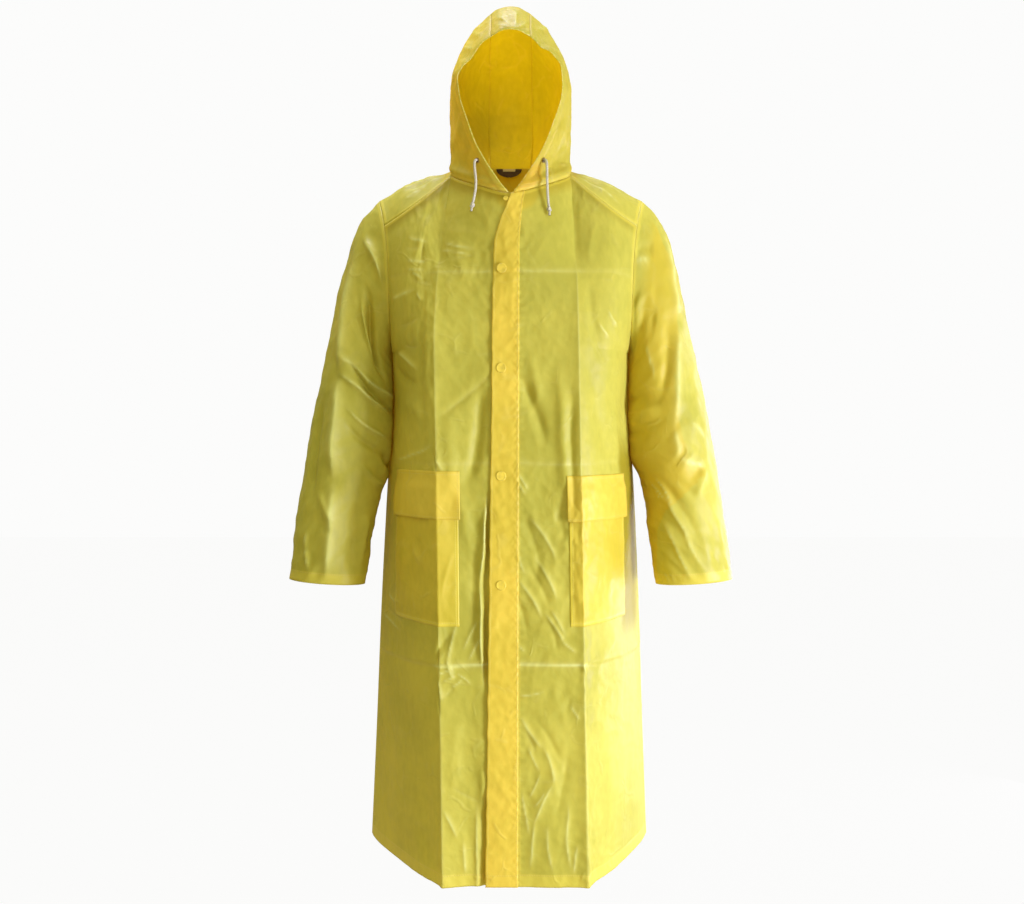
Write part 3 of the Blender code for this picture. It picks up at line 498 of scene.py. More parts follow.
# On the strip x runs across and z from the face edge over the crown to the nape.
STRIP_CREASES = crease_table(
    (2, 4, -30, 56, 3, 3.5, 1.4, 1.2),
    (0, 6, -14, 70, 2, 4, -1.4, 1.3),
    (-4, 4, -34, 30, 2, 3, 1.3, 1.1),
    (6, 6, 10, 78, 2, 4, 1.4, 1.2),
    (10, 4, 32, 50, 3, 3.5, 1.4, 1.2),
    (14, 4, 34, 26, 1, 4, -1.3, 1.3),
    (-30, 40, 24, 62, 3, 4, 1.2, 1.2),
    (-34, 90, 20, 76, 3, 5, 1.4, 1.3),
    (-20, 160, 26, 130, 3, 6, 1.4, 1.4),
    (-28, 240, 18, 270, 3, 6, -1.4, 1.4),
    (-16, 330, 28, 310, 3, 6, 1.4, 1.4),
    (10, 360, -6, 480, 3, 9, 1.8, 1.8),
)

# Where the hood's face edge sags between its crown and its temples.
Sag = namedtuple("Sag", "up spread sink draw")
RIM_SAGS = {
    -1: (
        Sag(0.84, 0.085, 0.0090, 0.0040),
        Sag(0.42, 0.10, 0.0, 0.0035),
        Sag(0.66, 0.05, -0.002, -0.0030),
    ),
    1: (
        Sag(0.92, 0.050, 0.0060, 0.0030),
        Sag(0.40, 0.10, 0.0, 0.0030),
        Sag(0.74, 0.05, -0.002, -0.0025),
    ),
}

# The random unevenness of the film: how high it stands, in metres or as a share of what it
# changes, and how far across it is.
Rough = namedtuple("Rough", "height size")
PANEL_SWELLS, PANEL_FACETS = Rough(0.0016, 0.060), Rough(0.0040, 0.042)
PANEL_CHIPS = Rough(0.0020, 0.017)
YOKE_SWELLS, YOKE_FACETS = Rough(0.0020, 0.040), Rough(0.0036, 0.034)
SLEEVE_SWELLS, SLEEVE_FACETS = Rough(0.0016, 0.050), Rough(0.0030, 0.042)
SLEEVE_CHIPS = Rough(0.0014, 0.018)
HOOD_SWELLS, HOOD_FACETS = Rough(0.0008, 0.045), Rough(0.0012, 0.026)
HOOD_CHIPS = Rough(0.0010, 0.012)
STRIP_SWELLS, STRIP_FACETS = Rough(0.0008, 0.030), Rough(0.0012, 0.020)
WANDER, WARP = Rough(0.0030, 0.050), Rough(0.012, 0.045)
FOLD_WANDER, CROSS_WANDER = Rough(0.0012, 0.090), Rough(0.0040, 0.120)
CROSS_UNEVEN, ROUGHER = Rough(0.25, 0.070), Rough(0.5, 0.150)
PLACKET_WANDER, PLACKET_WAVES = Rough(0.0007, 0.05), Rough(0.0012, 0.035)
POCKET_WAVES, FLAP_WAVES = Rough(1.0, 0.035), Rough(0.0010, 0.030)

# The flat cut of each piece: the width and length it is laid out to, its area, how it is held and
# what it is made of.
Cut = namedtuple("Cut", "width length area held slot")
CUTS = {
    "back": Cut(0.790, 1.140, 0.700, "hung", "film"),
    "front_left": Cut(0.405, 1.240, 0.390, "hung", "film"),
    "front_right": Cut(0.415, 1.240, 0.405, "hung", "film"),
    "yoke": Cut(0.480, 0.320, 0.116, "draped", "film"),
    "sleeve_left": Cut(0.500, 0.720, 0.252, "hung", "film"),
    "sleeve_right": Cut(0.500, 0.720, 0.252, "hung", "film"),
    "hood_left": Cut(0.300, 0.360, 0.077, "draped", "film"),
    "hood_right": Cut(0.300, 0.360, 0.077, "draped", "film"),
    "hood_centre": Cut(0.085, 0.560, 0.042, "draped", "film"),
    "placket": Cut(0.056, 1.215, 0.059, "hung", "film_double"),
    "pocket_left": Cut(0.160, 0.236, 0.036, "hung", "film"),
    "pocket_right": Cut(0.168, 0.236, 0.038, "hung", "film"),
    "pocket_flap_left": Cut(0.166, 0.082, 0.0130, "hung", "film_double"),
    "pocket_flap_right": Cut(0.176, 0.084, 0.0142, "hung", "film_double"),
    "neck_label": Cut(0.049, 0.017, 0.00066, "hung", "label"),
}


def mix(a, b, share):
    return a + (b - a) * share


def eased(t):
    return t * t * (3 - 2 * t)


def ramp(low, high, value):
    """0 below low, 1 above high and smooth between, on numbers or arrays."""
    return eased(np.clip((value - low) / (high - low), 0, 1))


def between(stops, value):
    """1 between the inner two of four stops and 0 outside the outer two."""
    outer_low, low, high, outer_high = stops
    return ramp(outer_low, low, value) * ramp(outer_high, high, value)


def in_oval(oval, x, z, inner):
    """1 inside this share of an oval and 0 just outside it."""
    return ramp(1.15, inner, np.hypot((x - oval.x) / oval.half_x, (z - oval.z) / oval.half_z))


def xyz(x, y, z):
    return np.stack(np.broadcast_arrays(x, y, z), axis=-1).astype(float)


def sign(value):
    return np.where(np.asarray(value) < 0, -1.0, 1.0)


def unit(vectors):
    return vectors / np.maximum(np.linalg.norm(vectors, axis=-1, keepdims=True), 1e-12)


def read(table, place, column):
    """A column of a table at places between its rows, on a smooth curve that never overshoots."""
    places = np.array([row[0] for row in table])
    values = np.array([getattr(row, column) for row in table])
    place = np.clip(place, places[0], places[-1])
    k = np.clip(np.searchsorted(places, place, side="right") - 1, 0, len(places) - 2)
    slopes = np.diff(values) / np.diff(places)
    product = slopes[:-1] * slopes[1:]
    total = np.where(product > 0, slopes[:-1] + slopes[1:], 1.0)
    inner = np.where(product > 0, 2 * product / total, 0.0)
    tangents = np.concatenate((slopes[:1], inner, slopes[-1:]))
    width = np.diff(places)[k]
    t = (place - places[k]) / width
    cubic = (2 * t**3 - 3 * t**2 + 1) * values[k] + (3 * t**2 - 2 * t**3) * values[k + 1]
    return cubic + width * ((t**3 - 2 * t**2 + t) * tangents[k] + (t**3 - t**2) * tangents[k + 1])


def fold_x(hand, z):
    """How far out a panel's lengthwise fold lies at a height."""
    return FOLD_X + hand * FOLD_LEAN * (FOLD_LEVEL - z)


def past_fold(across):
    """0 up to the lengthwise fold of a panel and 1 at its side seam."""
    return np.clip((across - FOLD_SHARE) / (1 - FOLD_SHARE), 0, 1)


def neck_seam(hand, share):
    """The neck seam, from the middle of the front at 0 to the middle of the back at 1."""
    x, y, z = (read(NECK_SEAM, share, axis) for axis in "xyz")
    return xyz(hand * x, y, z)


def armhole(hand, turn):
    """The armhole, by the turn from the underarm over the front."""
    lift = (1 - np.cos(turn)) / 2
    x = ARM_X + ARM_LEAN * lift**ARM_LEAN_POWER
    return xyz(hand * x, ARM_Y - ARM_DEPTH * np.sin(turn), mix(UNDERARM_Z, SHOULDER_Z, lift))


def yoke(hand, share, out):
    """Half of the yoke's surface. share runs from the front seam to the middle of the back, and out
    from the neck seam to the armhole and the back seam."""
    neck = neck_seam(hand, mix(NECK_POINT, 1, share))
    to_corner = np.clip(share / YOKE_CORNER, 0, 1)
    over_arm = armhole(hand, mix(TURN_FRONT, 2 * pi - TURN_BACK, to_corner))
    corner = armhole(hand, -TURN_BACK)
    away = 1 - np.clip((share - YOKE_CORNER) / (1 - YOKE_CORNER), 0, 1)
    over_back = xyz(corner[..., 0] * away, mix(YOKE_BACK_Y, corner[..., 1], away**2.5), corner[..., 2])
    edge = np.where((np.asarray(share) <= YOKE_CORNER)[..., None], over_arm, over_back)
    swell = xyz(0 * share, read(YOKE_SWELL, share, "y"), read(YOKE_SWELL, share, "z"))
    out = np.asarray(out)[..., None]
    return neck + (edge - neck) * out + swell * np.sin(pi * out)


def section(front, hand, across, z, edge_x, edge_y):
    """Points across one height of the body, flat to the fold and round from there to an edge."""
    centre_y = read(LEVELS, z, "front_y" if front else "back_y")
    fold = fold_x(hand, z)
    turn = past_fold(across) * pi / 2
    flatness = read(LEVELS, z, "flatness")
    side_x = fold + (np.abs(edge_x) - fold) * np.sin(turn) ** flatness
    side_y = edge_y + (centre_y - edge_y) * np.maximum(np.cos(turn), 0) ** flatness
    inside = across <= FOLD_SHARE
    x = np.where(inside, fold * across / FOLD_SHARE, side_x)
    return xyz(hand * x, np.where(inside, centre_y, side_y), z)


def flute_depth(front, s, v):
    """The hem's soft flutes, which fade upwards."""
    depth = 0.0 * s
    for flute in FRONT_FLUTES if front else BACK_FLUTES:
        fade = np.maximum(0.0, 1 - v / flute.top)
        depth = depth + flute.depth * rounded(s - flute.place, flute.width) * fade
    return depth


def chest(front, hand, across, climb):
    """The body above the underarm, before it is drawn to its top edge."""
    edge = armhole(hand, climb * (TURN_FRONT if front else -TURN_BACK))
    top_z = neck_seam(1, 0.0)[2] if front else armhole(1, -TURN_BACK)[2]
    z = mix(mix(UNDERARM_Z, top_z, climb), edge[..., 2], across)
    return section(front, hand, across, z, edge[..., 0], edge[..., 1])


def top_edge(front, hand, across):
    """Where the body is sewn to the yoke and the hood."""
    if not front:
        return yoke(hand, 1 - (1 - YOKE_CORNER) * across, 1 + 0 * across)
    at_neck = neck_seam(hand, NECK_POINT * np.minimum(across / FOLD_SHARE, 1))
    at_yoke = yoke(hand, 0 * across, past_fold(across))
    return np.where((across <= FOLD_SHARE)[..., None], at_neck, at_yoke)


def torso(front, s, v):
    """The body's surface. s runs -1 to 1 from the wearer's right side seam to the left one, v is
    0 at the hem, ARM_ROW at the underarm and 1 at the neck and yoke seams."""
    hand, across = sign(s), np.abs(s)
    beyond = past_fold(across)
    hem = mix(HEM_FRONT_Z if front else HEM_BACK_Z, HEM_SIDE_Z, beyond)
    z = mix(hem, UNDERARM_Z, np.minimum(v / ARM_ROW, 1))
    drop = np.maximum(0.0, (SIDE_SHIFT_TOP - z) / (SIDE_SHIFT_TOP - HEM_SIDE_Z))
    side_x = hand * read(LEVELS, z, "side_x") - SIDE_SHIFT * drop
    turn = beyond * pi / 2
    out = xyz(hand * np.sin(turn), -np.cos(turn) if front else np.cos(turn), 0 * turn)
    skirt = section(front, hand, across, z, side_x, read(LEVELS, z, "side_y"))
    skirt = skirt + out * flute_depth(front, s, v)[..., None]
    climb = np.clip((v - ARM_ROW) / (1 - ARM_ROW), 0, 1)
    moved = top_edge(front, hand, across) - chest(front, hand, across, 1.0)
    upper = chest(front, hand, across, climb) + climb[..., None] ** 2 * moved
    return np.where((v <= ARM_ROW)[..., None], skirt, upper)


def sleeve(hand, turn, along):
    """A sleeve's surface. turn goes once round from the underarm over the front and along from 0
    at the armhole to 1 at the cuff."""

    def ring(place):
        outer_x, outer_z, inner_x, inner_z, mid_y, half_y = (
            read(RINGS, place, column) for column in Ring._fields[1:]
        )
        lift = (1 - np.cos(turn)) / 2
        x = mix(inner_x, outer_x, lift)
        return xyz(hand * x, mid_y - half_y * np.sin(turn), mix(inner_z, outer_z, lift))

    left = np.maximum(0.0, 1 - along / ARM_BLEND)[..., None] ** 2
    return ring(along) + left * (armhole(hand, turn) - ring(0 * along))


def side_of_body(hand, y, z):
    """How far out the body reaches at these depths and heights."""
    fold, side, edge, flatness = fold_x(hand, z), *(read(LEVELS, z, c) for c in LEVELS[0]._fields[3:])
    reach = side
    for column in ("front_y", "back_y"):
        share = np.clip((y - edge) / (read(LEVELS, z, column) - edge), 0, 1)
        curve = np.maximum(1 - share ** (2 / flatness), 0) ** (flatness / 2)
        reach = np.minimum(reach, fold + (side - fold) * curve)
    return reach


def settled_in(hand, turn, points):
    """The sleeve's inner side, settled in towards the body."""
    reach = read(SLEEVE_REST, points[..., 2], "left" if hand > 0 else "right")
    reach = reach * np.maximum(np.cos(turn + REST_TURN), 0) ** 1.2
    return points - xyz(hand * reach, 0, 0)


def clear_of_body(hand, points):
    """The sleeve kept just off the body's side, below the underarm."""
    x, y, z = np.moveaxis(points, -1, 0)
    least = side_of_body(hand, y, z) + REST_CLEARANCE * ramp(REST_TOP_Z, REST_TOP_Z - 0.025, z)
    return xyz(hand * np.maximum(hand * x, np.where(z < REST_TOP_Z, least, 0)), y, z)


def hood_side(hand, share, up):
    """A side of the hood. share runs from the face edge to the back, up from the neck seam to the
    strip."""
    stations = [neck_seam(1, mix(HOOD_FRONT, HOOD_NAPE, share))]
    for name in ("cheek", "temple", "seam"):
        stations.append(xyz(*(read(RIBS, share, f"{name}_{axis}") for axis in "xyz")))
    point = 0.0
    knots = (0, 1 / 3, 2 / 3, 1)
    for i, station in enumerate(stations):
        weight = 1.0
        for j, knot in enumerate(knots):
            if j != i:
                weight = weight * (up - knot) / (knots[i] - knot)
        point = point + station * np.asarray(weight)[..., None]
    return point * np.array((hand, 1, 1))


def hood_strip(across, along):
    """The strip over the crown, from the face edge to the nape."""

    def seam(place):
        place = np.clip(place, 0.0, 1.0)
        on_ribs = hood_side(1, np.minimum(place / STRIP_CORNER, 1), 1 + 0 * place)
        down = 1 - np.clip((place - STRIP_CORNER) / (1 - STRIP_CORNER), 0, 1)
        return np.where((place <= STRIP_CORNER)[..., None], on_ribs, hood_side(1, 1 + 0 * place, down))

    edge = seam(along)
    run = seam(along + 0.02) - seam(along - 0.02)
    out = unit(xyz(0 * along, -run[..., 2], run[..., 1]))
    face, crown, nape = STRIP_RISE
    rise = np.where(along < 0.5, mix(face, crown, along * 2), mix(crown, nape, along * 2 - 1))
    arch = (1 - across**2)[..., None]
    point = xyz(across * edge[..., 0], edge[..., 1], edge[..., 2]) + out * rise[..., None] * arch
    settled = np.clip((along - STRIP_SETTLES) / (1 - STRIP_SETTLES), 0, 1)[..., None] ** 2
    sewn = neck_seam(sign(across), mix(1, HOOD_NAPE, np.abs(across)))
    sewn = sewn + xyz(0 * along, nape + 0 * along, 0 * along) * arch * (1 - settled)
    return mix(point, sewn, settled)


def lifted(form, a, b, distance, step=0.004):
    """Points of a form moved out along its normals, and the normals."""
    a, b = np.asarray(a, float), np.asarray(b, float)
    over, under = np.minimum(b + step, 1.0), b - step
    normal = unit(np.cross(form(a + step, b) - form(a - step, b), form(a, over) - form(a, under)))
    return form(a, b) + normal * np.asarray(distance)[..., None], normal


def cells(x, z, size):
    """Places counted in squares of this size, and the square that each lies in."""
    u, w = np.broadcast_arrays(x / size, z / size)
    return u, w, np.floor(u).astype(int), np.floor(w).astype(int)


def clouds(x, z, size, seed):
    """Smooth random swells between -1 and 1, about this size across."""
    grid = np.random.default_rng(seed).uniform(-1, 1, (64, 64))
    u, w, i, j = cells(x, z, size)
    fu, fw = eased(u - i), eased(w - j)
    near = mix(grid[i % 64, j % 64], grid[(i + 1) % 64, j % 64], fu)
    far = mix(grid[i % 64, (j + 1) % 64], grid[(i + 1) % 64, (j + 1) % 64], fu)
    return mix(near, far, fw)


def crumples(x, z, size, seed):
    """Small flat facets with pressed edges between them, from 0 to about 1."""
    jitter = np.random.default_rng(seed).uniform(0, 1, (64, 64, 2))
    u, w, i, j = cells(x, z, size)
    nearest = np.full(u.shape, 9.0)
    for di in (-1, 0, 1):
        for dj in (-1, 0, 1):
            seed_at = jitter[(i + di) % 64, (j + dj) % 64]
            away = np.hypot(i + di + seed_at[..., 0] - u, j + dj + seed_at[..., 1] - w)
            nearest = np.minimum(nearest, away)
    return nearest


def swells(x, z, rough, seed):
    """Soft unevenness, in and out."""
    return rough.height * clouds(x, z, rough.size, seed)


def facets(x, z, rough, seed):
    """Crushed unevenness, in and out."""
    return rough.height * (crumples(x, z, rough.size, seed) - 0.5)


def rounded(distance, width):
    """A soft swell, 1 on its line."""
    return np.exp(-((distance / width) ** 2))


def pressed(distance, width):
    """A sharp pressed fold, 1 on its line."""
    return np.exp(-np.abs(distance) / width)


def press(line, distance):
    """How much a pressed line does at a distance."""
    return line.amount * pressed(distance - line.place, line.spread)


def creases(table, x, z, seed):
    """How far the cloth stands out at x, z for all the creases of a table, and how much their
    edges are whitened, as bending whitens film and as a painted highlight."""
    x = x + swells(x, z, WANDER, seed)
    z = z + swells(x, z, WANDER, seed + 1)
    total, pale = 0.0 * x, 0.0 * x
    for line in table:
        run_x, run_z = line.x1 - line.x0, line.z1 - line.z0
        length = np.hypot(run_x, run_z)
        t = ((x - line.x0) * run_x + (z - line.z0) * run_z) / length**2
        inside = np.clip(t, 0, 1)
        off = ((x - line.x0) * run_z - (z - line.z0) * run_x) / length
        off = off - line.bow * 4 * inside * (1 - inside)
        beyond = np.abs(t - inside) * length
        taper = ramp(*CREASE_TAPER, inside) * ramp(*CREASE_TAPER, 1 - inside)
        away = np.hypot(off, beyond) / (line.width * CREASE_SPREAD)
        total = total + line.height * taper * np.exp(-(away**line.sharp))
        if line.sharp < WHITE_BELOW:
            white = RIDGE_WHITE if line.height > 0 else VALLEY_WHITE
            pale = np.maximum(pale, white * taper * pressed(away, WHITE_SPREAD))
    return total * CREASE_DEPTH, pale


def panel_x(s):
    """Distance along the cloth from the centre line."""
    across = np.abs(s)
    to_fold = np.minimum(across, FOLD_SHARE) / FOLD_SHARE * FOLD_X
    return sign(s) * (to_fold + past_fold(across) * SIDE_ARC)


def packing_folds(x, z, seed):
    """The creases from the coat's folding for its bag: two lengthwise, three across. How far they
    stand out and how much their lines are whitened, as stress whitening and a painted highlight."""
    fade = ramp(*FOLD_TOP, z)
    folds, pale = 0.0 * x, 0.0 * x
    for hand in (-1, 1):
        off = x - (hand * FOLD_X + swells(x, z, FOLD_WANDER, seed))
        folds = folds + press(FOLD_RISE, off) * fade
        pale = np.maximum(pale, press(FOLD_WHITE, off) * fade)
    for number, fold in enumerate(PACKING_FOLDS):
        off = z - (fold.z + swells(x, z, CROSS_WANDER, seed + 5 + number))
        strength = fold.strength * (0.75 + swells(x, z, CROSS_UNEVEN, seed + 9 + number))
        folds = folds + strength * (press(CROSS_RISE, off) - press(CROSS_DIP, off))
        white = CROSS_WHITE * strength * ramp(*CROSS_WHITE_ENDS, np.abs(x) / FOLD_X)
        white = np.minimum(white + CROSS_WHITE_LEAST, 1)
        pale = np.maximum(pale, white * press(CROSS_EDGE, off))
    return folds, pale


def settle(s, v, z, distance):
    """1 on the panel and 0 at its sewn edges, over this distance, and flat where a sleeve rests."""
    side = (1 - np.abs(s)) * SIDE_ARC / (1 - FOLD_SHARE)
    top = (1 - v) * YOKE_TO_ARM / (1 - ARM_ROW)
    resting = between(RESTING_Z, z)
    return ramp(0, distance, side) * ramp(0, distance, top) * (1 - resting * ramp(0.060, 0.020, side))


def panel_relief(front, table, s, v, seed):
    """How far a body panel stands out from its form, and how much it is whitened, with painted
    highlights along its creases.
    """
    x, z = panel_x(s), torso(front, s, v)[..., 2]
    rough = 0.5 + swells(x, z, ROUGHER, seed + 30)
    warp_x, warp_z = x + swells(x, z, WARP, seed + 21), z + swells(x, z, WARP, seed + 22)
    uneven = facets(warp_x, warp_z * 0.7, PANEL_FACETS, seed + 23)
    uneven = uneven + facets(warp_x, warp_z, PANEL_CHIPS, seed + 24)
    uneven = uneven * rough + swells(x, z * 0.45, PANEL_SWELLS, seed + 20)
    folds, pale = creases(table, x, z, seed)
    packed, packed_pale = packing_folds(x, z, seed + 40)
    return (folds + packed + uneven) * settle(s, v, z, 0.020), np.maximum(pale, packed_pale)


def front(s, v):
    return torso(True, s, v)


def front_relief(s, v):
    return panel_relief(True, FRONT_CREASES, s, v, 3)


def worn_front(s, v, distance):
    """The front with its folds, and what lies on it at this distance."""
    return lifted(front, s, v, front_relief(s, v)[0] + distance)[0]


def row_at(s, z):
    """The rows of the front that pass these heights at these columns."""
    s, z = np.broadcast_arrays(np.asarray(s, float), np.asarray(z, float))
    low, high = np.zeros(s.shape), np.ones(s.shape)
    for _ in range(30):
        middle = (low + high) / 2
        below = front(s, middle)[..., 2] < z
        low, high = np.where(below, middle, low), np.where(below, high, middle)
    return low


def column_at(x, z):
    """The column of the front at a distance from its middle."""
    return x * FOLD_SHARE / fold_x(sign(x), z)


def lengths(points, axis):
    """Distance along the cloth from its first row or column."""
    step = np.linalg.norm(np.diff(points, axis=axis), axis=-1)
    start = np.zeros_like(np.take(step, [0], axis=axis))
    return np.concatenate((start, np.cumsum(step, axis=axis)), axis=axis)


def surface_normals(points, tube=False):
    """Normals of a grid of points, which a tube closes on itself."""
    if tube:
        wide = np.concatenate((points[:, -2:-1], points, points[:, 1:2]), axis=1)
        along, around = np.gradient(wide, axis=0)[:, 1:-1], np.gradient(wide, axis=1)[:, 1:-1]
    else:
        along, around = np.gradient(points, axis=0), np.gradient(points, axis=1)
    return unit(np.cross(around, along))


def grid_mesh(rows, columns):
    """A mesh of rows and columns of faces, and the row and column of each of its points."""
    bm = bmesh.new()
    bmesh.ops.create_grid(bm, x_segments=columns, y_segments=rows, size=0.5)
    return bm, [(round((v.co.y + 0.5) * rows), round((v.co.x + 0.5) * columns)) for v in bm.verts]


def finish_mesh(name, bm, look):
    mesh = bpy.data.meshes.new(name)
    bm.to_mesh(mesh)
    bm.free()
    mesh.shade_smooth()
    mesh.materials.append(look)
    obj = bpy.data.objects.new(f"{name}_film" if name in CUTS else name, mesh)
    bpy.context.scene.collection.objects.link(obj)
    return obj


def stand_for(obj, piece):
    """Puts a finer piece in the place of a solid."""
    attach(obj, "root")
    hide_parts(piece)


def cloth(
    name, points, inside, look, wall=FILM, tube=False, relief=0.0, pale=0.0, backing_and_shade=0.0, hand=0
):
    """A piece of film drawn to a grid of points, with its folds, and given its thickness inwards.
    Each point keeps its distances from the four edges, for the seams, hems and stitches, how pale it
    is, which whitens it with a painted highlight above 0 and gives it painted shade below 0, and how
    far another layer backs it, which painted shade also uses to turn it golden. A hand keeps it
    clear of that side."""
    normals = surface_normals(points, tube)
    if np.sum(normals * (points - np.array(inside))) < 0:
        normals = -normals
    from_low, from_start = lengths(points, 0), lengths(points, 1)
    points = points + normals * np.asarray(relief)[..., None]
    if hand:
        points = clear_of_body(hand, points)
    pale, backing_and_shade = (np.broadcast_to(given, points.shape[:2]) for given in (pale, backing_and_shade))
    bm, places = grid_mesh(points.shape[0] - 1, points.shape[1] - 1)
    near = bm.verts.layers.float_vector.new("near")
    far = bm.verts.layers.float_vector.new("far")
    for vertex, (i, j) in zip(bm.verts, places):
        to_end, to_high = from_start[i, -1] - from_start[i, j], from_low[-1, j] - from_low[i, j]
        vertex[near] = (from_start[i, j], from_low[i, j], pale[i, j])
        vertex[far] = (to_end, to_high, backing_and_shade[i, j])
        vertex.co = points[i, j]
    if tube:
        bmesh.ops.remove_doubles(bm, verts=bm.verts, dist=1e-6)
    bm.normal_update()
    middle = Vector(inside)
    if sum(f.normal.dot(f.calc_center_median() - middle) * f.calc_area() for f in bm.faces) < 0:
        bmesh.ops.reverse_faces(bm, faces=bm.faces)
    obj = finish_mesh(name, bm, look)
    solidify = obj.modifiers.new("Film", "SOLIDIFY")
    solidify.thickness = wall
    solidify.offset = -1
    stand_for(obj, name)
    return obj


def repaint(obj, look, chosen):
    """Gives another look to the faces whose centres are chosen."""
    obj.data.materials.append(look)
    for face in obj.data.polygons:
        if chosen(face.center):
            face.material_index = 1


def spaced(*stops):
    """Places from the first stop to the last, with the given number of steps between them."""
    found = [stops[0]]
    for count, stop in zip(stops[1::2], stops[2::2]):
        found += list(np.linspace(found[-1], stop, count + 1)[1:])
    return np.array(found)


def front_edge(hand):
    """The column of a front's own edge, under the placket."""
    return FRONT_EDGE_X[hand] * FOLD_SHARE / FOLD_X


# Materials

SINGLE = (0.67, 0.684, 0.090, 1)
HOOD = (0.615, 0.695, 0.084, 1)
DOUBLE = (0.82, 0.68, 0.060, 1)
POCKET = (0.745, 0.645, 0.050, 1)
FLAP = (0.76, 0.63, 0.055, 1)
GLOW_TINT = (1.14, 0.86, 0.34, 1)
HOOD_TINT = (1.38, 0.935, 0.50, 1)
BACKDROP = (0.973, 0.973, 0.966, 1)
FILM_IOR, FILM_SHINE, FILM_BUMP = 1.47, 0.36, 0.001
# What covers the film's colour where it is creased or ridged (whitening with a painted highlight),
# backed (in places painted shade), under painted shade, double or stitched.
Cover = namedtuple("Cover", "colour weight")
WHITENED_AND_HIGHLIGHT = Cover((0.85, 0.88, 0.36, 1), 0.65)
RIDGED = Cover(WHITENED_AND_HIGHLIGHT.colour, 0.05)
BACKED_AND_SHADE = Cover((0.79, 0.69, 0.045, 1), 0.60)
PAINTED_SHADE = Cover((0.46, 0.375, 0.004, 1), -0.75)
DOUBLED = Cover(DOUBLE, 0.40)
STITCHED = Cover((0.80, 0.74, 0.25, 1), 0.22)
# How much of its light still passes where the film is whitened, with its painted highlight, or double.
WHITENED_PASSES, DOUBLE_PASSES = 0.40, 0.65
DARKER, PALER, PALER_BY = 0.96, 1.12, 0.020
STITCH_PITCH, BRAID_PITCH = 0.0042, 0.0060
CORD_GROOVE_SHADE, CORD_PALE = (0.50, 0.46, 0.30, 1), (0.78, 0.75, 0.58, 1)
CORD_ROUGHNESS, CORD_BUMP, PLAIN_DARKER = 0.78, 0.0008, 0.72

# The sides of a piece, as the attribute and axis that hold the distance from them, and how far in
# from a side the film is double and where its stitches run.
START, END, LOW, HIGH = ("near", 0), ("far", 0), ("near", 1), ("far", 1)
Sewn = namedtuple("Sewn", "width line")
SEAM, JOINED, FACE_EDGE = Sewn(0.007, 0.0015), Sewn(0.0, 0.0015), Sewn(0.0, 0.0185)
HEM, CUFF = Sewn(0.022, 0.020), Sewn(0.020, 0.018)
POCKET_SIDE, FLAP_SIDE = Sewn(0.007, 0.0055), Sewn(0.0, 0.0040)
HOOD_FILM = dict(
    crinkle=2.2, crackled=True, single=HOOD, through=0.60, tint=HOOD_TINT, roughness=0.47
)
FILMS = {
    "panel": ({START: SEAM, END: SEAM, LOW: HEM, HIGH: SEAM}, {}),
    "yoke": ({START: SEAM, END: SEAM, LOW: SEAM, HIGH: SEAM}, {}),
    "sleeve": ({LOW: SEAM, HIGH: CUFF}, {}),
    "hood": ({START: FACE_EDGE, LOW: SEAM, HIGH: JOINED}, HOOD_FILM),
    "hood strip": ({START: JOINED, END: JOINED, LOW: FACE_EDGE}, HOOD_FILM),
    "placket": (
        {START: Sewn(0.0, 0.0035), END: Sewn(0.0, 0.0030), LOW: Sewn(0.0, 0.0200)},
        dict(single=DOUBLE, through=0.30),
    ),
    "pocket": (
        {START: POCKET_SIDE, END: POCKET_SIDE, LOW: Sewn(0.008, 0.0060)},
        dict(single=POCKET, through=0.34),
    ),
    "flap": (
        {START: FLAP_SIDE, END: FLAP_SIDE, LOW: FLAP_SIDE, HIGH: Sewn(0.0, 0.0060)},
        dict(single=FLAP, through=0.28),
    ),
}
Plain = namedtuple("Plain", "name colour roughness metallic grain scale", defaults=(0.0, 0.0, 400.0))
PLAIN_LOOKS = {
    "snap": Plain("moulded snap", (0.84, 0.645, 0.056, 1), 0.55, grain=0.00002, scale=120.0),
    "eyelet": Plain("pressed brass", (0.50, 0.36, 0.12, 1), 0.38, 0.9, grain=0.00005, scale=900.0),
    # a dark disc in the eyelet's hole, painted shade
    "throat": Plain("eyelet throat", (0.030, 0.018, 0.006, 1), 0.9),
    "label": Plain("woven label", (0.060, 0.032, 0.018, 1), 0.8, grain=0.0002, scale=1500.0),
    "label_top": Plain("label heading", (0.62, 0.54, 0.30, 1), 0.7, grain=0.0002, scale=1500.0),
}


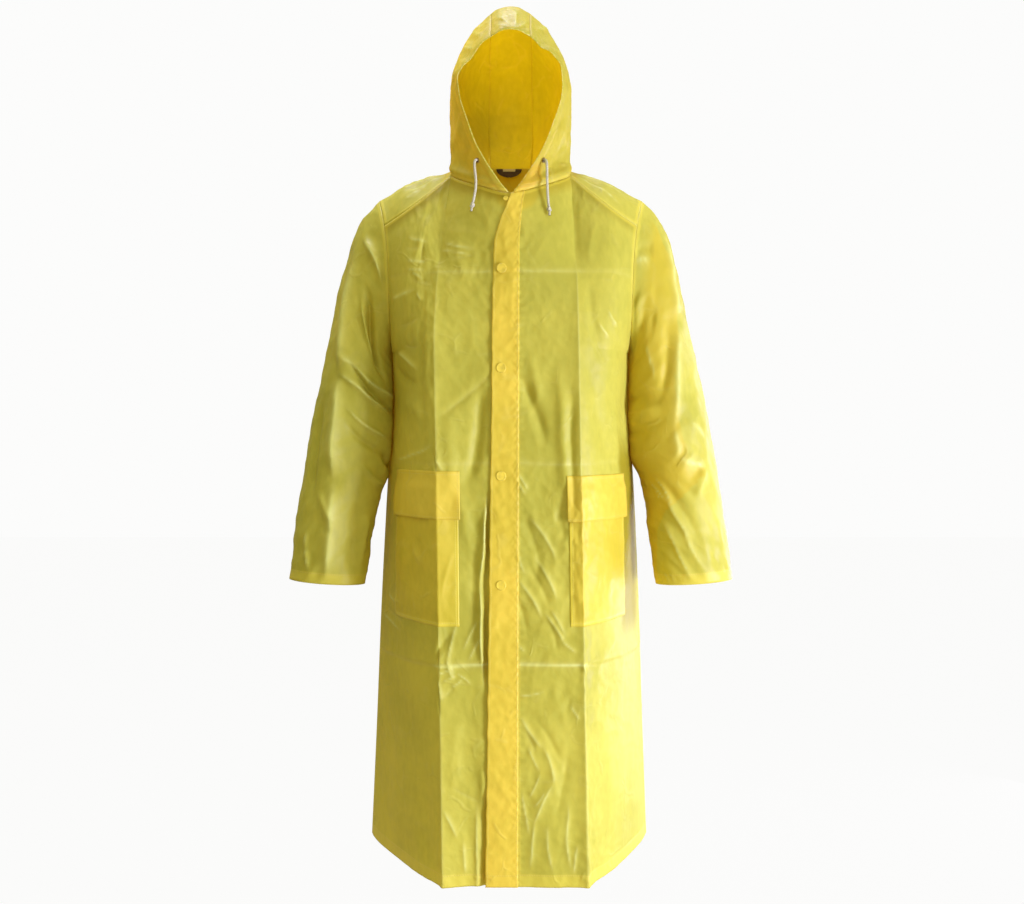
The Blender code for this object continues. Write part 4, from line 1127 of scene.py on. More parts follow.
class Graph:
    """Adds nodes to a material, world or group in one line each."""

    def __init__(self, tree):
        self.tree = tree

    def add(self, kind, inputs=None, **settings):
        node = self.tree.nodes.new(kind)
        for key, value in settings.items():
            setattr(node, key, value)
        for key, value in (inputs or {}).items():
            self.feed(node, key, value)
        return node

    def feed(self, node, key, value):
        if isinstance(value, bpy.types.NodeSocket):
            self.tree.links.new(value, node.inputs[key])
        else:
            node.inputs[key].default_value = value

    def math(self, operation, *values, clamp=False):
        node = self.add("ShaderNodeMath", dict(enumerate(values)), operation=operation, use_clamp=clamp)
        return node.outputs[0]

    def total(self, *terms):
        """The sum of values, each times its weight."""
        parts = [self.math("MULTIPLY", value, weight) for value, weight in terms]
        for part in parts[1:]:
            parts[0] = self.math("ADD", parts[0], part)
        return parts[0]

    def fade(self, value, start, end, low=0.0, high=1.0):
        inputs = {"Value": value, "From Min": start, "From Max": end, "To Min": low, "To Max": high}
        return self.add("ShaderNodeMapRange", inputs, interpolation_type="SMOOTHSTEP").outputs[0]

    def blend(self, share, a, b, way="MIX"):
        node = self.add("ShaderNodeMix", data_type="RGBA", blend_type=way)
        for key, value in ((0, share), (6, a), (7, b)):
            self.feed(node, key, value)
        return node.outputs[2]

    def cover(self, colour, over, mask):
        """A colour under another one, which shows as far as a mask times its weight says."""
        return self.blend(self.math("MULTIPLY", mask, over.weight, clamp=True), colour, over.colour)

    def noise(self, vector, scale, detail, output=0):
        inputs = {"Vector": vector, "Scale": scale, "Detail": detail}
        return self.add("ShaderNodeTexNoise", inputs).outputs[output]

    def cells(self, vector, scale, feature="F1"):
        inputs = {"Vector": vector, "Scale": scale}
        return self.add("ShaderNodeTexVoronoi", inputs, feature=feature).outputs["Distance"]

    def attribute(self, label):
        """The three numbers that a piece keeps at each point under this name."""
        vector = self.add("ShaderNodeAttribute", attribute_name=label).outputs["Vector"]
        return self.add("ShaderNodeSeparateXYZ", {0: vector}).outputs

    def bump(self, height, distance):
        inputs = {"Height": height, "Distance": distance, "Strength": 1.0}
        return self.add("ShaderNodeBump", inputs).outputs[0]

    def surface(self, shader, kind="ShaderNodeOutputMaterial"):
        self.add(kind, {"Surface": shader.outputs[0]})


def new_look(name):
    made = bpy.data.materials.new(name)
    made.use_nodes = True
    made.node_tree.nodes.clear()
    return made, Graph(made.node_tree)


def group(name, inputs, outputs):
    """A node group with these inputs, a vector where no value is given, and outputs of numbers."""
    made = bpy.data.node_groups.new(name, "ShaderNodeTree")
    for label, value in inputs.items():
        kind = "NodeSocketVector" if value is None else "NodeSocketFloat"
        socket = made.interface.new_socket(label, in_out="INPUT", socket_type=kind)
        if value is not None:
            socket.default_value = value
    for label in outputs:
        made.interface.new_socket(label, in_out="OUTPUT", socket_type="NodeSocketFloat")
    graph = Graph(made)
    return made, graph, graph.add("NodeGroupInput").outputs, graph.add("NodeGroupOutput")


def sewn_edge_group():
    """A turned or seamed edge: where the film is double, and the stitches along its line."""
    made, g, given, result = group(
        "sewn edge",
        {"Distance": 0.0, "Along": 0.0, "Width": 0.010, "Line": 0.008},
        ("Double", "Stitch", "Height"),
    )
    past = g.math("SUBTRACT", given["Distance"], given["Width"])
    double = g.fade(past, -0.0007, 0.0007, 1.0, 0.0)
    off = g.math("ABSOLUTE", g.math("SUBTRACT", given["Distance"], given["Line"]))
    line = g.fade(off, 0.0004, 0.0010, 1.0, 0.0)
    wave = g.math("SINE", g.math("MULTIPLY", given["Along"], 2 * pi / STITCH_PITCH))
    stitch = g.math("MULTIPLY", line, g.fade(wave, -0.75, -0.35))
    groove = g.fade(off, 0.0, 0.0030, 1.0, 0.0)
    g.feed(result, "Double", double)
    g.feed(result, "Stitch", stitch)
    g.feed(result, "Height", g.total((double, 0.10), (groove, -0.09), (stitch, 0.14)))
    return made


def crinkle_group():
    """The film's small creases and its frosted grain, as a height in millimetres, how mottled it
    is, and the ridges of its creases."""
    made, g, given, result = group(
        "crinkled film", {"Vector": None, "Crinkle": 1.0}, ("Height", "Mottle", "Ridge")
    )
    vector, crinkle = given["Vector"], given["Crinkle"]
    swirl = g.noise(vector, 16.0, 2.0, "Color")
    swirl = g.add("ShaderNodeVectorMath", {0: swirl, 1: (0.05, 0.05, 0.05)}, operation="MULTIPLY")
    shifted = g.add("ShaderNodeVectorMath", {0: vector, 1: swirl.outputs[0]}, operation="ADD").outputs[0]
    ridges = g.fade(g.cells(shifted, 15.0, "DISTANCE_TO_EDGE"), 0.0, 0.070, 1.0, 0.0)
    ridges = g.math("MULTIPLY", ridges, g.fade(g.noise(vector, 30.0, 1.0), 0.50, 0.62))
    height = g.total((g.cells(shifted, 26.0), 0.9), (g.cells(shifted, 75.0), 0.30), (ridges, 0.45))
    height = g.math("MULTIPLY", height, g.fade(g.noise(vector, 7.0, 1.0), 0.35, 0.70, 0.15, 1.0))
    grain = g.math("MULTIPLY", g.noise(vector, 900.0, 2.0), 0.012)
    upright = g.add("ShaderNodeMapping", {"Vector": vector, "Scale": (1.0, 1.0, 0.45)}).outputs[0]
    mottle = g.total((g.noise(vector, 6.0, 4.0), 0.70), (g.noise(upright, 110.0, 3.0), 0.30))
    g.feed(result, "Height", g.math("ADD", g.math("MULTIPLY", height, crinkle), grain))
    g.feed(result, "Mottle", mottle)
    g.feed(result, "Ridge", g.math("MULTIPLY", ridges, crinkle))
    return made


def film_material(
    groups, name, edges, single=SINGLE, through=0.47, roughness=0.46, crinkle=1.2, tint=GLOW_TINT,
    crackled=False,
):
    """Translucent film, and how each of its sides is sewn. What a piece keeps in near's third number
    whitens the film where it is above 0, as crease whitening and painted highlight, and darkens it
    as painted shade below 0, and far's says where another layer backs it and where painted shade
    turns it golden."""
    made, g = new_look(f"film {name}")
    coordinates = g.add("ShaderNodeTexCoord").outputs["Object"]
    film = g.add(
        "ShaderNodeGroup", {"Vector": coordinates, "Crinkle": crinkle}, node_tree=groups["crinkle"]
    ).outputs
    kept = {label: g.attribute(label) for label in ("near", "far")}
    height, layers, stitches = film["Height"], 0.0, 0.0
    for (label, axis), sewn in edges.items():
        along = kept["near"][1 - axis]
        inputs = {"Distance": kept[label][axis], "Along": along, "Width": sewn.width, "Line": sewn.line}
        edge = g.add("ShaderNodeGroup", inputs, node_tree=groups["edge"]).outputs
        height = g.math("ADD", height, edge["Height"])
        layers = g.math("MAXIMUM", edge["Double"], layers)
        stitches = g.math("MAXIMUM", edge["Stitch"], stitches)
    highlight_and_shade, backing_and_shade = kept["near"][2], kept["far"][2]
    dark = tuple(c * DARKER for c in single[:3]) + (1,)
    pale = tuple(min(1.0, c * PALER + PALER_BY) for c in single[:3]) + (1,)
    colour = g.blend(g.fade(film["Mottle"], 0.30, 0.72), dark, pale)
    # golden where another layer backs the film, and where painted shade is given this way
    colour = g.cover(colour, BACKED_AND_SHADE, backing_and_shade)
    colour = g.cover(colour, RIDGED, film["Ridge"])
    # whitening with a painted highlight, broken into fine cells on a crackled film
    white = g.math("MULTIPLY", highlight_and_shade, WHITENED_AND_HIGHLIGHT.weight, clamp=True)
    if crackled:
        fine = g.cells(coordinates, 130.0, "DISTANCE_TO_EDGE")
        white = g.math("MULTIPLY", white, g.fade(fine, 0.0, 0.15, 1.9, 0.10), clamp=True)
    colour = g.blend(white, colour, WHITENED_AND_HIGHLIGHT.colour)
    # painted shade where near's third number is below 0, then double layers and stitches
    for over, mask in ((PAINTED_SHADE, highlight_and_shade), (DOUBLED, layers), (STITCHED, stitches)):
        colour = g.cover(colour, over, mask)
    passing = g.fade(highlight_and_shade, 0.0, 1.0, through, WHITENED_PASSES * through)
    passing = g.math("MULTIPLY", g.fade(layers, 0.0, 1.0, 1.0, DOUBLE_PASSES), passing)
    normal = g.bump(height, FILM_BUMP)
    rough = g.fade(film["Mottle"], 0.2, 0.8, roughness - 0.06, roughness + 0.08)
    shell = g.add(
        "ShaderNodeBsdfPrincipled",
        {"Base Color": colour, "Roughness": rough, "Normal": normal, "IOR": FILM_IOR,
         "Specular IOR Level": FILM_SHINE},
    )
    golden = g.blend(1.0, colour, tint, way="MULTIPLY")
    glow = g.add("ShaderNodeBsdfTranslucent", {"Color": golden, "Normal": normal})
    g.surface(g.add("ShaderNodeMixShader", {0: passing, 1: shell.outputs[0], 2: glow.outputs[0]}))
    return made


def plain_material(name, colour, roughness, metallic, grain, scale):
    made, g = new_look(name)
    noise = g.noise(g.add("ShaderNodeTexCoord").outputs["Object"], scale, 3.0)
    shade = g.blend(g.fade(noise, 0.3, 0.7), tuple(c * PLAIN_DARKER for c in colour[:3]) + (1,), colour)
    inputs = {"Base Color": shade, "Roughness": roughness, "Metallic": metallic}
    g.surface(g.add("ShaderNodeBsdfPrincipled", {**inputs, "Normal": g.bump(noise, grain)}))
    return made


def braid_material():
    """A braided cord: strands that cross over one another along its length."""
    made, g = new_look("braided cord")
    around, along, _ = g.attribute("near")
    turn = g.math("MULTIPLY", around, 2 * pi * 4)
    run = g.math("MULTIPLY", along, 2 * pi / BRAID_PITCH)
    one, other = (g.math("SINE", g.math(operation, turn, run)) for operation in ("ADD", "SUBTRACT"))
    strand = g.math("MAXIMUM", g.math("ABSOLUTE", one), g.math("ABSOLUTE", other))
    # painted shade: darker in the grooves between the strands
    colour = g.blend(g.fade(strand, 0.70, 1.0), CORD_GROOVE_SHADE, CORD_PALE)
    inputs = {"Base Color": colour, "Roughness": CORD_ROUGHNESS, "Normal": g.bump(strand, CORD_BUMP)}
    g.surface(g.add("ShaderNodeBsdfPrincipled", inputs))
    return made


def make_looks():
    """Every material, by the name that the pieces ask for."""
    groups = {"edge": sewn_edge_group(), "crinkle": crinkle_group()}
    looks = {
        name: film_material(groups, name, edges, **settings) for name, (edges, settings) in FILMS.items()
    }
    looks |= {name: plain_material(*plain) for name, plain in PLAIN_LOOKS.items()}
    return looks | {"cord": braid_material()}


# A point inside each part of the coat, which its film faces away from.
BODY_INSIDE, YOKE_INSIDE, HOOD_INSIDE = (0, 0.05, -0.6), (0, 0.03, -0.3), (0, 0.03, 0.15)
SLEEVE_INSIDE = (0.31, 0.015, -0.42)

# Where another layer of film lies behind, at the hood corner also painted shade, and the painted
# shade that stands for the wearer's left arm's shadow on the front.
Oval = namedtuple("Oval", "x z half_x half_z")
THROAT, HOOD_CORNER = Oval(0.012, -0.026, 0.042, 0.034), Oval(0, 0, 0.050, 0.060)
ARM_SHADOW_X, ARM_SHADOW_Z = (0.240, 0.256, 0.290, 0.345), (-0.830, -0.770, -0.500, -0.430)

# Rows of the body's grids from the hem over the underarm to the top, and sizes of the rest.
PANEL_ROWS = (0, 285, ARM_ROW, 90, 1.0)
SLEEVE_WRAP, SLEEVE_SKEW = 0.075, 0.04
HOOD_DEPTH, HOOD_HEIGHT = 0.30, 0.34
STRIP_HALF, STRIP_LENGTH = 0.038, 0.55
ROLL_RISE, ROLL_Z, ROLL_WIDTH = 0.0050, 0.014, 0.009
CHANNEL_HEIGHT, CHANNEL_RADIUS, FACE_EDGE_WHITE = 0.0016, 0.011, 0.0012
LABEL_SET_IN, LABEL_DROP, PATCH_HEIGHT, PATCH_HALF = 0.0016, 0.0012, 0.0052, 0.0125
KNOT_CORD_RADIUS, CORD_STEP, KNOT_STEP = 0.0019, 0.0016, 0.0006
FLOOR_Z, FLOOR_SIZE, FLOOR_COLOUR, FLOOR_GLOW = -1.56, 12, (0.46, 0.42, 0.33, 1), 0.985

# How far what is sewn on stands off the front.
PLACKET_LIFT, PLACKET_FREE, PLACKET_FREE_Z = 0.0016, 0.0018, (-0.16, -0.30)
POCKET_LIFT, POCKET_FULL = 0.0008, 0.0016
FLAP_LIFT, FLAP_STEP, FLAP_SWING = 0.0012, 0.0020, 0.0026
PUCKER_PITCH = 0.0022


def build_body(looks):
    for side, hand in SIDES.items():
        columns = spaced(front_edge(hand), 54, hand * FOLD_SHARE, 66, float(hand))
        s, v = np.meshgrid(columns, spaced(*PANEL_ROWS))
        relief, pale = front_relief(s, v)
        x, z = panel_x(s), front(s, v)[..., 2]
        relief = relief + np.sin(z / PUCKER_PITCH) * press(FRONT_PUCKER, x)
        # backed by the facing at the throat and by the hood's seam, also painted shade under the hood
        from_neck = (1 - v) * NECK_TO_ARM / (1 - ARM_ROW)
        facing = in_oval(THROAT, x, z, 0.85)
        seam_backing_and_shade = 0.8 * ramp(0.024, 0.004, from_neck) * (np.abs(s) < FOLD_SHARE)
        # painted shade under the wearer's left arm and under the hood
        arm_shadow = between(ARM_SHADOW_X, x) * between(ARM_SHADOW_Z, z)
        hood_shadow = np.where(s < 0, 0.9, 0.45) * ramp(0.026, 0.006, from_neck)
        painted_shade = np.maximum(arm_shadow, hood_shadow)
        cloth(
            f"front_{side}", front(s, v), BODY_INSIDE, looks["panel"], relief=relief,
            pale=np.where(painted_shade > pale, -painted_shade, pale), backing_and_shade=np.maximum(facing, seam_backing_and_shade),
        )
    columns = spaced(-1.0, 46, -FOLD_SHARE, 60, FOLD_SHARE, 46, 1.0)
    s, v = np.meshgrid(columns, spaced(0, 165, ARM_ROW, 50, 1.0))
    relief, pale = panel_relief(False, BACK_CREASES, s, v, 70)
    cloth("back", torso(False, s, v), BODY_INSIDE, looks["panel"], relief=relief, pale=pale)


def build_yoke(looks):
    """One saddle over both shoulders, from front seam to front seam."""
    shares = spaced(0.0, 44, YOKE_CORNER, 40, 1.0)
    outs = spaced(0.0, 44, 1.0)
    right = yoke(-1, *np.meshgrid(shares, outs))
    left = yoke(1, *np.meshgrid(shares[::-1], outs))
    points = np.concatenate((right, left[:, 1:]), axis=1)
    x, y = points[..., 0], points[..., 1]
    edges = np.minimum(lengths(points, 0), lengths(points[::-1], 0)[::-1])
    ends = np.minimum(lengths(points, 1), lengths(points[:, ::-1], 1)[:, ::-1])
    calm = ramp(0, 0.016, np.minimum(edges, ends))
    folds, pale = swells(x, y, YOKE_SWELLS, 91) + facets(x, y, YOKE_FACETS, 92), 0.0
    for hand in (-1, 1):
        lines, white = creases(YOKE_CREASES[hand], np.abs(x), y, 95 + hand)
        folds, pale = folds + np.where(x * hand > 0, lines, 0), pale + np.where(x * hand > 0, white, 0)
    at_neck = ramp(mix(0.030, 0.075, ramp(0.02, 0.10, y)), 0.008, lengths(points, 0))
    cloth("yoke", points, YOKE_INSIDE, looks["yoke"], relief=folds * calm, pale=pale, backing_and_shade=at_neck)


def build_sleeves(looks):
    for (side, hand), seed in zip(SIDES.items(), (110, 130)):
        turn, along = np.meshgrid(np.radians(spaced(0, 112, 360)), spaced(0.0, 150, 1.0) ** 1.15)
        around, down = turn / (2 * pi) * SLEEVE_GIRTH, along * SLEEVE_LENGTH
        folds, pale = creases(SLEEVE_CREASES[hand] + BACK_OF_SLEEVE_CREASES, around, down, seed)
        # noise on a cylinder, so that it meets itself at the underarm seam
        wrapped_x, wrapped_z = np.sin(turn) * SLEEVE_WRAP, down + SLEEVE_SKEW * np.cos(turn)
        turned = np.cos(turn) * SLEEVE_WRAP
        folds = SLEEVE_DEPTH[hand] * folds + swells(wrapped_x, wrapped_z, SLEEVE_SWELLS, seed + 2)
        folds = folds + facets(wrapped_x + turned, wrapped_z + turned, SLEEVE_FACETS, seed + 3)
        folds = folds + facets(wrapped_x, wrapped_z + turned, SLEEVE_CHIPS, seed + 4)
        calm = ramp(0, 0.018, down) * mix(0.35, 1.0, ramp(0, 0.020, SLEEVE_LENGTH - down))
        # painted shade: the wearer's left sleeve turns golden on its inner side, away from the lamps
        shade_edge = read(SLEEVE_SHADE, along, "turn") + 3 * clouds(down, 0 * down, 0.040, seed + 5)
        backing_and_shade = ramp(-1.5, 1.5, shade_edge - np.degrees(turn)) * ramp(0.02, 0.09, along) * (hand > 0)
        cloth(
            f"sleeve_{side}", settled_in(hand, turn, sleeve(hand, turn, along)),
            np.array(SLEEVE_INSIDE) * (hand, 1, 1), looks["sleeve"], tube=True, relief=folds * calm,
            pale=pale, backing_and_shade=backing_and_shade, hand=hand,
        )


def hung_rim(hand, share, up, points):
    """The face edge sags between its crown and its temples, more on the wearer's right."""
    droop = 0.0
    for sag in RIM_SAGS[hand]:
        soft = rounded(up - sag.up, sag.spread) * ramp(0.30, 0.0, share)
        droop = droop + xyz(-hand * sag.draw * soft, 0 * soft, -sag.sink * soft)
    return points + droop


def channel(distance):
    """The round hem that the drawstring runs in, along the hood's face edge."""
    across = np.clip(distance, 0, 2 * CHANNEL_RADIUS) / CHANNEL_RADIUS - 1
    return CHANNEL_HEIGHT * np.sqrt(np.clip(1 - across**2, 0, 1))


def crown_whitening_and_highlight(x, z, seed):
    """Whitened spots, as where a crown has been crushed, which are also painted highlights on the crown.
    """
    return 0.35 * crumples(x * 1.6 + z, z - x, 0.011, seed)


def build_hood(looks):
    for (side, hand), seed in zip(SIDES.items(), (150, 160)):
        share, up = np.meshgrid(spaced(0.0, 90, 1.0), spaced(0.0, 90, 1.0))
        points = hung_rim(hand, share, up, hood_side(hand, share, up))
        x, z = share * HOOD_DEPTH, up * HOOD_HEIGHT
        edge = np.minimum(np.minimum(z, HOOD_HEIGHT - z), HOOD_DEPTH - x)
        folds, pale = creases(HOOD_CREASES[hand], x, z, seed)
        folds = HOOD_CREASE_DEPTH * folds + swells(x, z, HOOD_SWELLS, seed + 1)
        folds = folds + facets(x * 0.8 + z * 0.4, z, HOOD_FACETS, seed + 2)
        folds = folds + facets(x, z, HOOD_CHIPS, seed + 3)
        roll = ROLL_RISE * rounded(z - ROLL_Z, ROLL_WIDTH) * ramp(0.8, 0.3, share)
        relief = folds * ramp(0, 0.014, edge) * mix(0.3, 1, ramp(0, 0.02, x)) + channel(x) + roll
        # painted highlight spots with crush whitening on the crown's front, a painted highlight along
        # the face edge
        frosted = ramp(0.15, 0.34, z) * ramp(0.13, 0.03, x) * crown_whitening_and_highlight(x, z, seed + 5)
        pale = np.maximum(np.maximum(pale, frosted), pressed(x, FACE_EDGE_WHITE))
        # golden low corner on the wearer's left side only: a facing, and painted shade on the lit side
        facing = in_oval(HOOD_CORNER, x, z, 0.80) * (hand > 0)
        # and a little golden towards the neck seam on both sides
        backing_and_shade = np.maximum(facing, 0.20 * ramp(0.31, 0.17, z))
        cloth(
            f"hood_{side}", points, HOOD_INSIDE, looks["hood"], relief=relief, pale=pale,
            backing_and_shade=backing_and_shade,
        )
    across, along = np.meshgrid(spaced(-1.0, 40, 1.0), spaced(0.0, 200, 1.0))
    x, z = across * STRIP_HALF, along * STRIP_LENGTH
    folds, pale = creases(STRIP_CREASES, x, z, 173)
    folds = HOOD_CREASE_DEPTH * folds + swells(x, z, STRIP_SWELLS, 172)
    folds = folds + facets(x, z * 0.8, STRIP_FACETS, 171)
    calm = ramp(0, 0.008, STRIP_HALF - np.abs(x)) * ramp(0, 0.014, STRIP_LENGTH - z)
    # crush whitening and painted highlight spots at the front of the crown, a painted highlight along
    # the face edge
    frosted = np.maximum(pale, crown_whitening_and_highlight(x, z, 174)) * ramp(0.110, 0.060, z)
    cloth(
        "hood_centre", hood_strip(across, along), HOOD_INSIDE, looks["hood strip"],
        relief=folds * calm + channel(z), pale=np.maximum(frosted, pressed(z, FACE_EDGE_WHITE)),
    )


def build_placket(looks):
    rows = spaced(*PANEL_ROWS)
    heights = front(0 * rows, rows)[:, 2]
    wander = swells(rows * 4, 0 * rows, PLACKET_WANDER, 7)
    left = column_at(read(PLACKET, heights, "left_x") + wander, heights)
    right = column_at(read(PLACKET, heights, "right_x"), heights)
    across, v = np.meshgrid(spaced(0.0, 22, 1.0), rows)
    s = mix(left[:, None], right[:, None], across)
    z = front(s, v)[..., 2]
    free = ramp(*PLACKET_FREE_Z, z) * (1 - across) ** 2
    wave = np.sin(z / PUCKER_PITCH + 3.0 * clouds(z, across, 0.05, 9))
    pucker = wave * press(PLACKET_PUCKER, across)
    waves = swells(across * 0.05, z, PLACKET_WAVES, 8) * (0.3 + free)
    rough = 0.0014 * (crumples(across * 0.055, z * 1.3, 0.020, 10) - 0.4) * ramp(0.0, 0.3, 1 - across)
    uneven = (waves + rough) * ramp(0, 0.01, z - HEM_FRONT_Z)
    distance = PLACKET_LIFT + PLACKET_FREE * free + pucker + uneven
    bridged = np.maximum(front_relief(s, v)[0], 0.0) + distance
    cloth("placket", lifted(front, s, v, bridged)[0], BODY_INSIDE, looks["placket"], wall=DOUBLE_FILM)


def build_pockets(looks):
    for side, hand in SIDES.items():
        inner = column_at(hand * POCKET_INNER_X[hand], POCKET_MOUTH_Z)
        outer = hand * POCKET_OUTER
        overhang = hand * FLAP_OVERHANG * FOLD_SHARE / FOLD_X
        foot, mouth = (row_at(inner, z) for z in (POCKET_FOOT_Z, POCKET_MOUTH_Z))
        columns = spaced(inner, 16, hand * FOLD_SHARE, 44, outer)
        s, v = np.meshgrid(columns, spaced(foot, 62, mouth))
        x, z = panel_x(s), front(s, v)[..., 2]
        away = np.minimum(np.minimum(np.abs(x - x[:, :1]), np.abs(x[:, -1:] - x)), z - z[0, 0])
        low = ramp(0, 0.030, POCKET_MOUTH_Z - z)
        full = low * ramp(0, 0.03, away) * (1 + swells(x, z, POCKET_WAVES, 200 + hand))
        bulge = POCKET_LIFT + POCKET_FULL * full
        cloth(f"pocket_{side}", worn_front(s, v, bulge), BODY_INSIDE, looks["pocket"])
        foot, top = (row_at(inner, table[hand]) for table in (FLAP_FOOT_Z, FLAP_TOP_Z))
        columns = spaced(inner - overhang, 17, hand * FOLD_SHARE, 45, outer + overhang)
        s, v = np.meshgrid(columns, spaced(foot, 26, top))
        hang = ramp(0, 1, (top - v) / (top - foot))
        wave = hang * swells(panel_x(s), v, FLAP_WAVES, 210 + hand)
        lift = FLAP_LIFT + FLAP_STEP * ramp(0, 0.3, hang) + FLAP_SWING * hang + wave
        points = worn_front(s, v, lift)
        cloth(f"pocket_flap_{side}", points, BODY_INSIDE, looks["flap"], wall=DOUBLE_FILM)


def turned_piece(name, profile, look, segments=40):
    """A round piece spun from its profile of (radius, height)."""
    bm = bmesh.new()
    turns = [2 * pi * step / segments for step in range(segments)]
    rings = []
    for radius, height in profile:
        around = turns if radius else turns[:1]
        ring = [bm.verts.new((radius * cos(turn), radius * sin(turn), height)) for turn in around]
        rings.append(ring if radius else ring * segments)
    for low, high in zip(rings, rings[1:]):
        for step in range(segments):
            corners = low[step - 1], high[step - 1], high[step], low[step]
            bm.faces.new(dict.fromkeys(corners))
    bmesh.ops.recalc_face_normals(bm, faces=bm.faces)
    return finish_mesh(name, bm, look)


def set_on(obj, point, normal):
    """Moves a finished mesh to its place, so that its object stays at the origin."""
    turn = Vector(normal).to_track_quat("Z", "Y").to_matrix().to_4x4()
    turn.translation = Vector(point)
    obj.data.transform(turn)


# Half the section of a snap cap, as shares of its radius and height: flat foot, rolled rim, dish.
CAP = (
    (0.0, 0.0), (0.96, 0.0), (1.0, 0.25), (0.985, 0.62), (0.93, 0.92), (0.85, 1.0), (0.76, 0.93),
    (0.68, 0.78), (0.40, 0.74), (0.16, 0.73), (0.0, 0.73),
)
CAP_HEIGHT, OVER_PLACKET, OVER_FRONT = 0.0011, 0.0028, 0.0002


def build_snaps(looks):
    places = [(f"snap_{number}", SNAP_X, z, SNAP_RADIUS) for number, z in enumerate(SNAP_Z, start=1)]
    places.append(("snap_neck", NECK_SNAP_X, NECK_SNAP_Z, NECK_SNAP_RADIUS))
    for name, x, z, radius in places:
        s = column_at(np.array(x), z)
        v = row_at(s, z)
        relief = front_relief(s, v)[0]
        over = relief + OVER_FRONT if name == "snap_neck" else np.maximum(relief, 0) + OVER_PLACKET
        profile = [(radius * out, CAP_HEIGHT * up) for out, up in CAP]
        obj = turned_piece(f"{name}_cap", profile, looks["snap"])
        set_on(obj, *lifted(front, s, v, over))
        stand_for(obj, name)


def eyelet_profile():
    """A rolled ring with a dark disc behind it, painted shade in the hole."""
    middle, half = (EYELET_HOLE + EYELET_RADIUS) / 2, (EYELET_RADIUS - EYELET_HOLE) / 2
    ring = [(0.0, -0.0003), (EYELET_HOLE * 0.92, -0.0003)]
    for turn in np.radians(np.linspace(180, 0, 9)):
        ring.append((middle + half * cos(turn), 0.00072 * sin(turn)))
    return ring + [(EYELET_RADIUS, -0.0009), (0.0, -0.0009)]


def build_eyelets(looks):
    for side, hand in SIDES.items():
        point, normal = lifted(partial(hood_side, hand), EYELET_RIB, EYELET_UP, 0.0)
        if np.dot(normal, point - np.array(HOOD_INSIDE)) < 0:
            normal = -normal
        obj = turned_piece(f"eyelet_{side}_ring", eyelet_profile(), looks["eyelet"])
        # the dark disc inside the hole is painted shade
        repaint(obj, looks["throat"], lambda c: np.hypot(c.x, c.y) < EYELET_HOLE and c.z > -0.0008)
        set_on(obj, point + normal * EYELET_LIFT, normal)
        stand_for(obj, f"eyelet_{side}")


def smooth_route(points, spacing):
    """Points along a smooth curve through the given ones, about this far apart."""
    route = [np.array(p) for p in points]
    ends = [route[0] * 2 - route[1]] + route + [route[-1] * 2 - route[-2]]
    found = []
    for a, b, c, d in zip(ends, ends[1:], ends[2:], ends[3:]):
        count = max(1, round(np.linalg.norm(c - b) / spacing))
        for t in np.linspace(0, 1, count + 1)[:-1]:
            bend = (2 * a - 5 * b + 4 * c - d) * t**2 + (3 * b - a - 3 * c + d) * t**3
            found.append(0.5 * (2 * b + (c - a) * t + bend))
    return np.array(found + [route[-1]])


def round_cord(name, line, radii, look, sides=14):
    """A round tube along a line of points, closed at both ends."""
    tangents = unit(np.gradient(line, axis=0))
    across = np.cross(tangents[0], (1.0, 0.0, 0.0))
    frames = []
    for tangent in tangents:
        across = unit(across - tangent * np.dot(across, tangent))
        frames.append((across, np.cross(tangent, across)))
    run = lengths(line, 0)
    bm, places = grid_mesh(len(line) - 1, sides)
    near = bm.verts.layers.float_vector.new("near")
    for vertex, (i, j) in zip(bm.verts, places):
        turn = 2 * pi * j / sides
        side, up = frames[i]
        vertex[near] = (j / sides, run[i], 0)
        vertex.co = line[i] + radii[i] * (side * cos(turn) + up * sin(turn))
    bmesh.ops.remove_doubles(bm, verts=bm.verts, dist=1e-6)
    bmesh.ops.holes_fill(bm, edges=[e for e in bm.edges if e.is_boundary], sides=sides)
    bmesh.ops.recalc_face_normals(bm, faces=bm.faces)
    return finish_mesh(name, bm, look)


def knot_line(end, way, turn_sign):
    """An overhand knot drawn tight, from the cord's end to its short tail."""
    loop = []
    for t in np.linspace(0.10, 0.90, 40) * 2 * pi:
        loop.append((
            (sin(t) + 2 * sin(2 * t)) * 0.00095 * turn_sign,
            (cos(t) - 2 * cos(2 * t)) * 0.00085,
            -0.0044 - sin(3 * t) * 0.0018 - (t / pi - 1) * 0.0012,
        ))
    tail = [(0.0004 * turn_sign, 0.0, -0.0108), (0.0008 * turn_sign, -0.0003, -0.0152)]
    local = [(0.0, 0.0, 0.0), (0.0, 0.0, -0.0012)] + loop + tail
    turn = Vector(way).to_track_quat("-Z", "Y").to_matrix()
    return smooth_route([np.array(end) + np.array(turn @ Vector(p)) for p in local], KNOT_STEP)


def build_drawstring(looks):
    for side, route in EXIT_ROUTES.items():
        line = smooth_route(route, CORD_STEP)
        way = np.array(route[-1]) - np.array(route[-2])
        knot = knot_line(route[-1], way, SIDES[side])
        reach = np.linspace(0, 1, len(knot))
        radii = KNOT_CORD_RADIUS + 0.0004 * ramp(0.10, 0.0, reach) + 0.0003 * ramp(0.86, 1.0, reach)
        tied = round_cord(f"drawstring_{side}_tied_end", knot, radii, looks["cord"], sides=10)
        stand_for(tied, f"drawstring_knot_{side}")
        radii = np.full(len(line), CORD_DIAMETER / 2)
        cord = round_cord(f"drawstring_{side}_cord", line, radii, looks["cord"])
        stand_for(cord, f"drawstring_{side}")


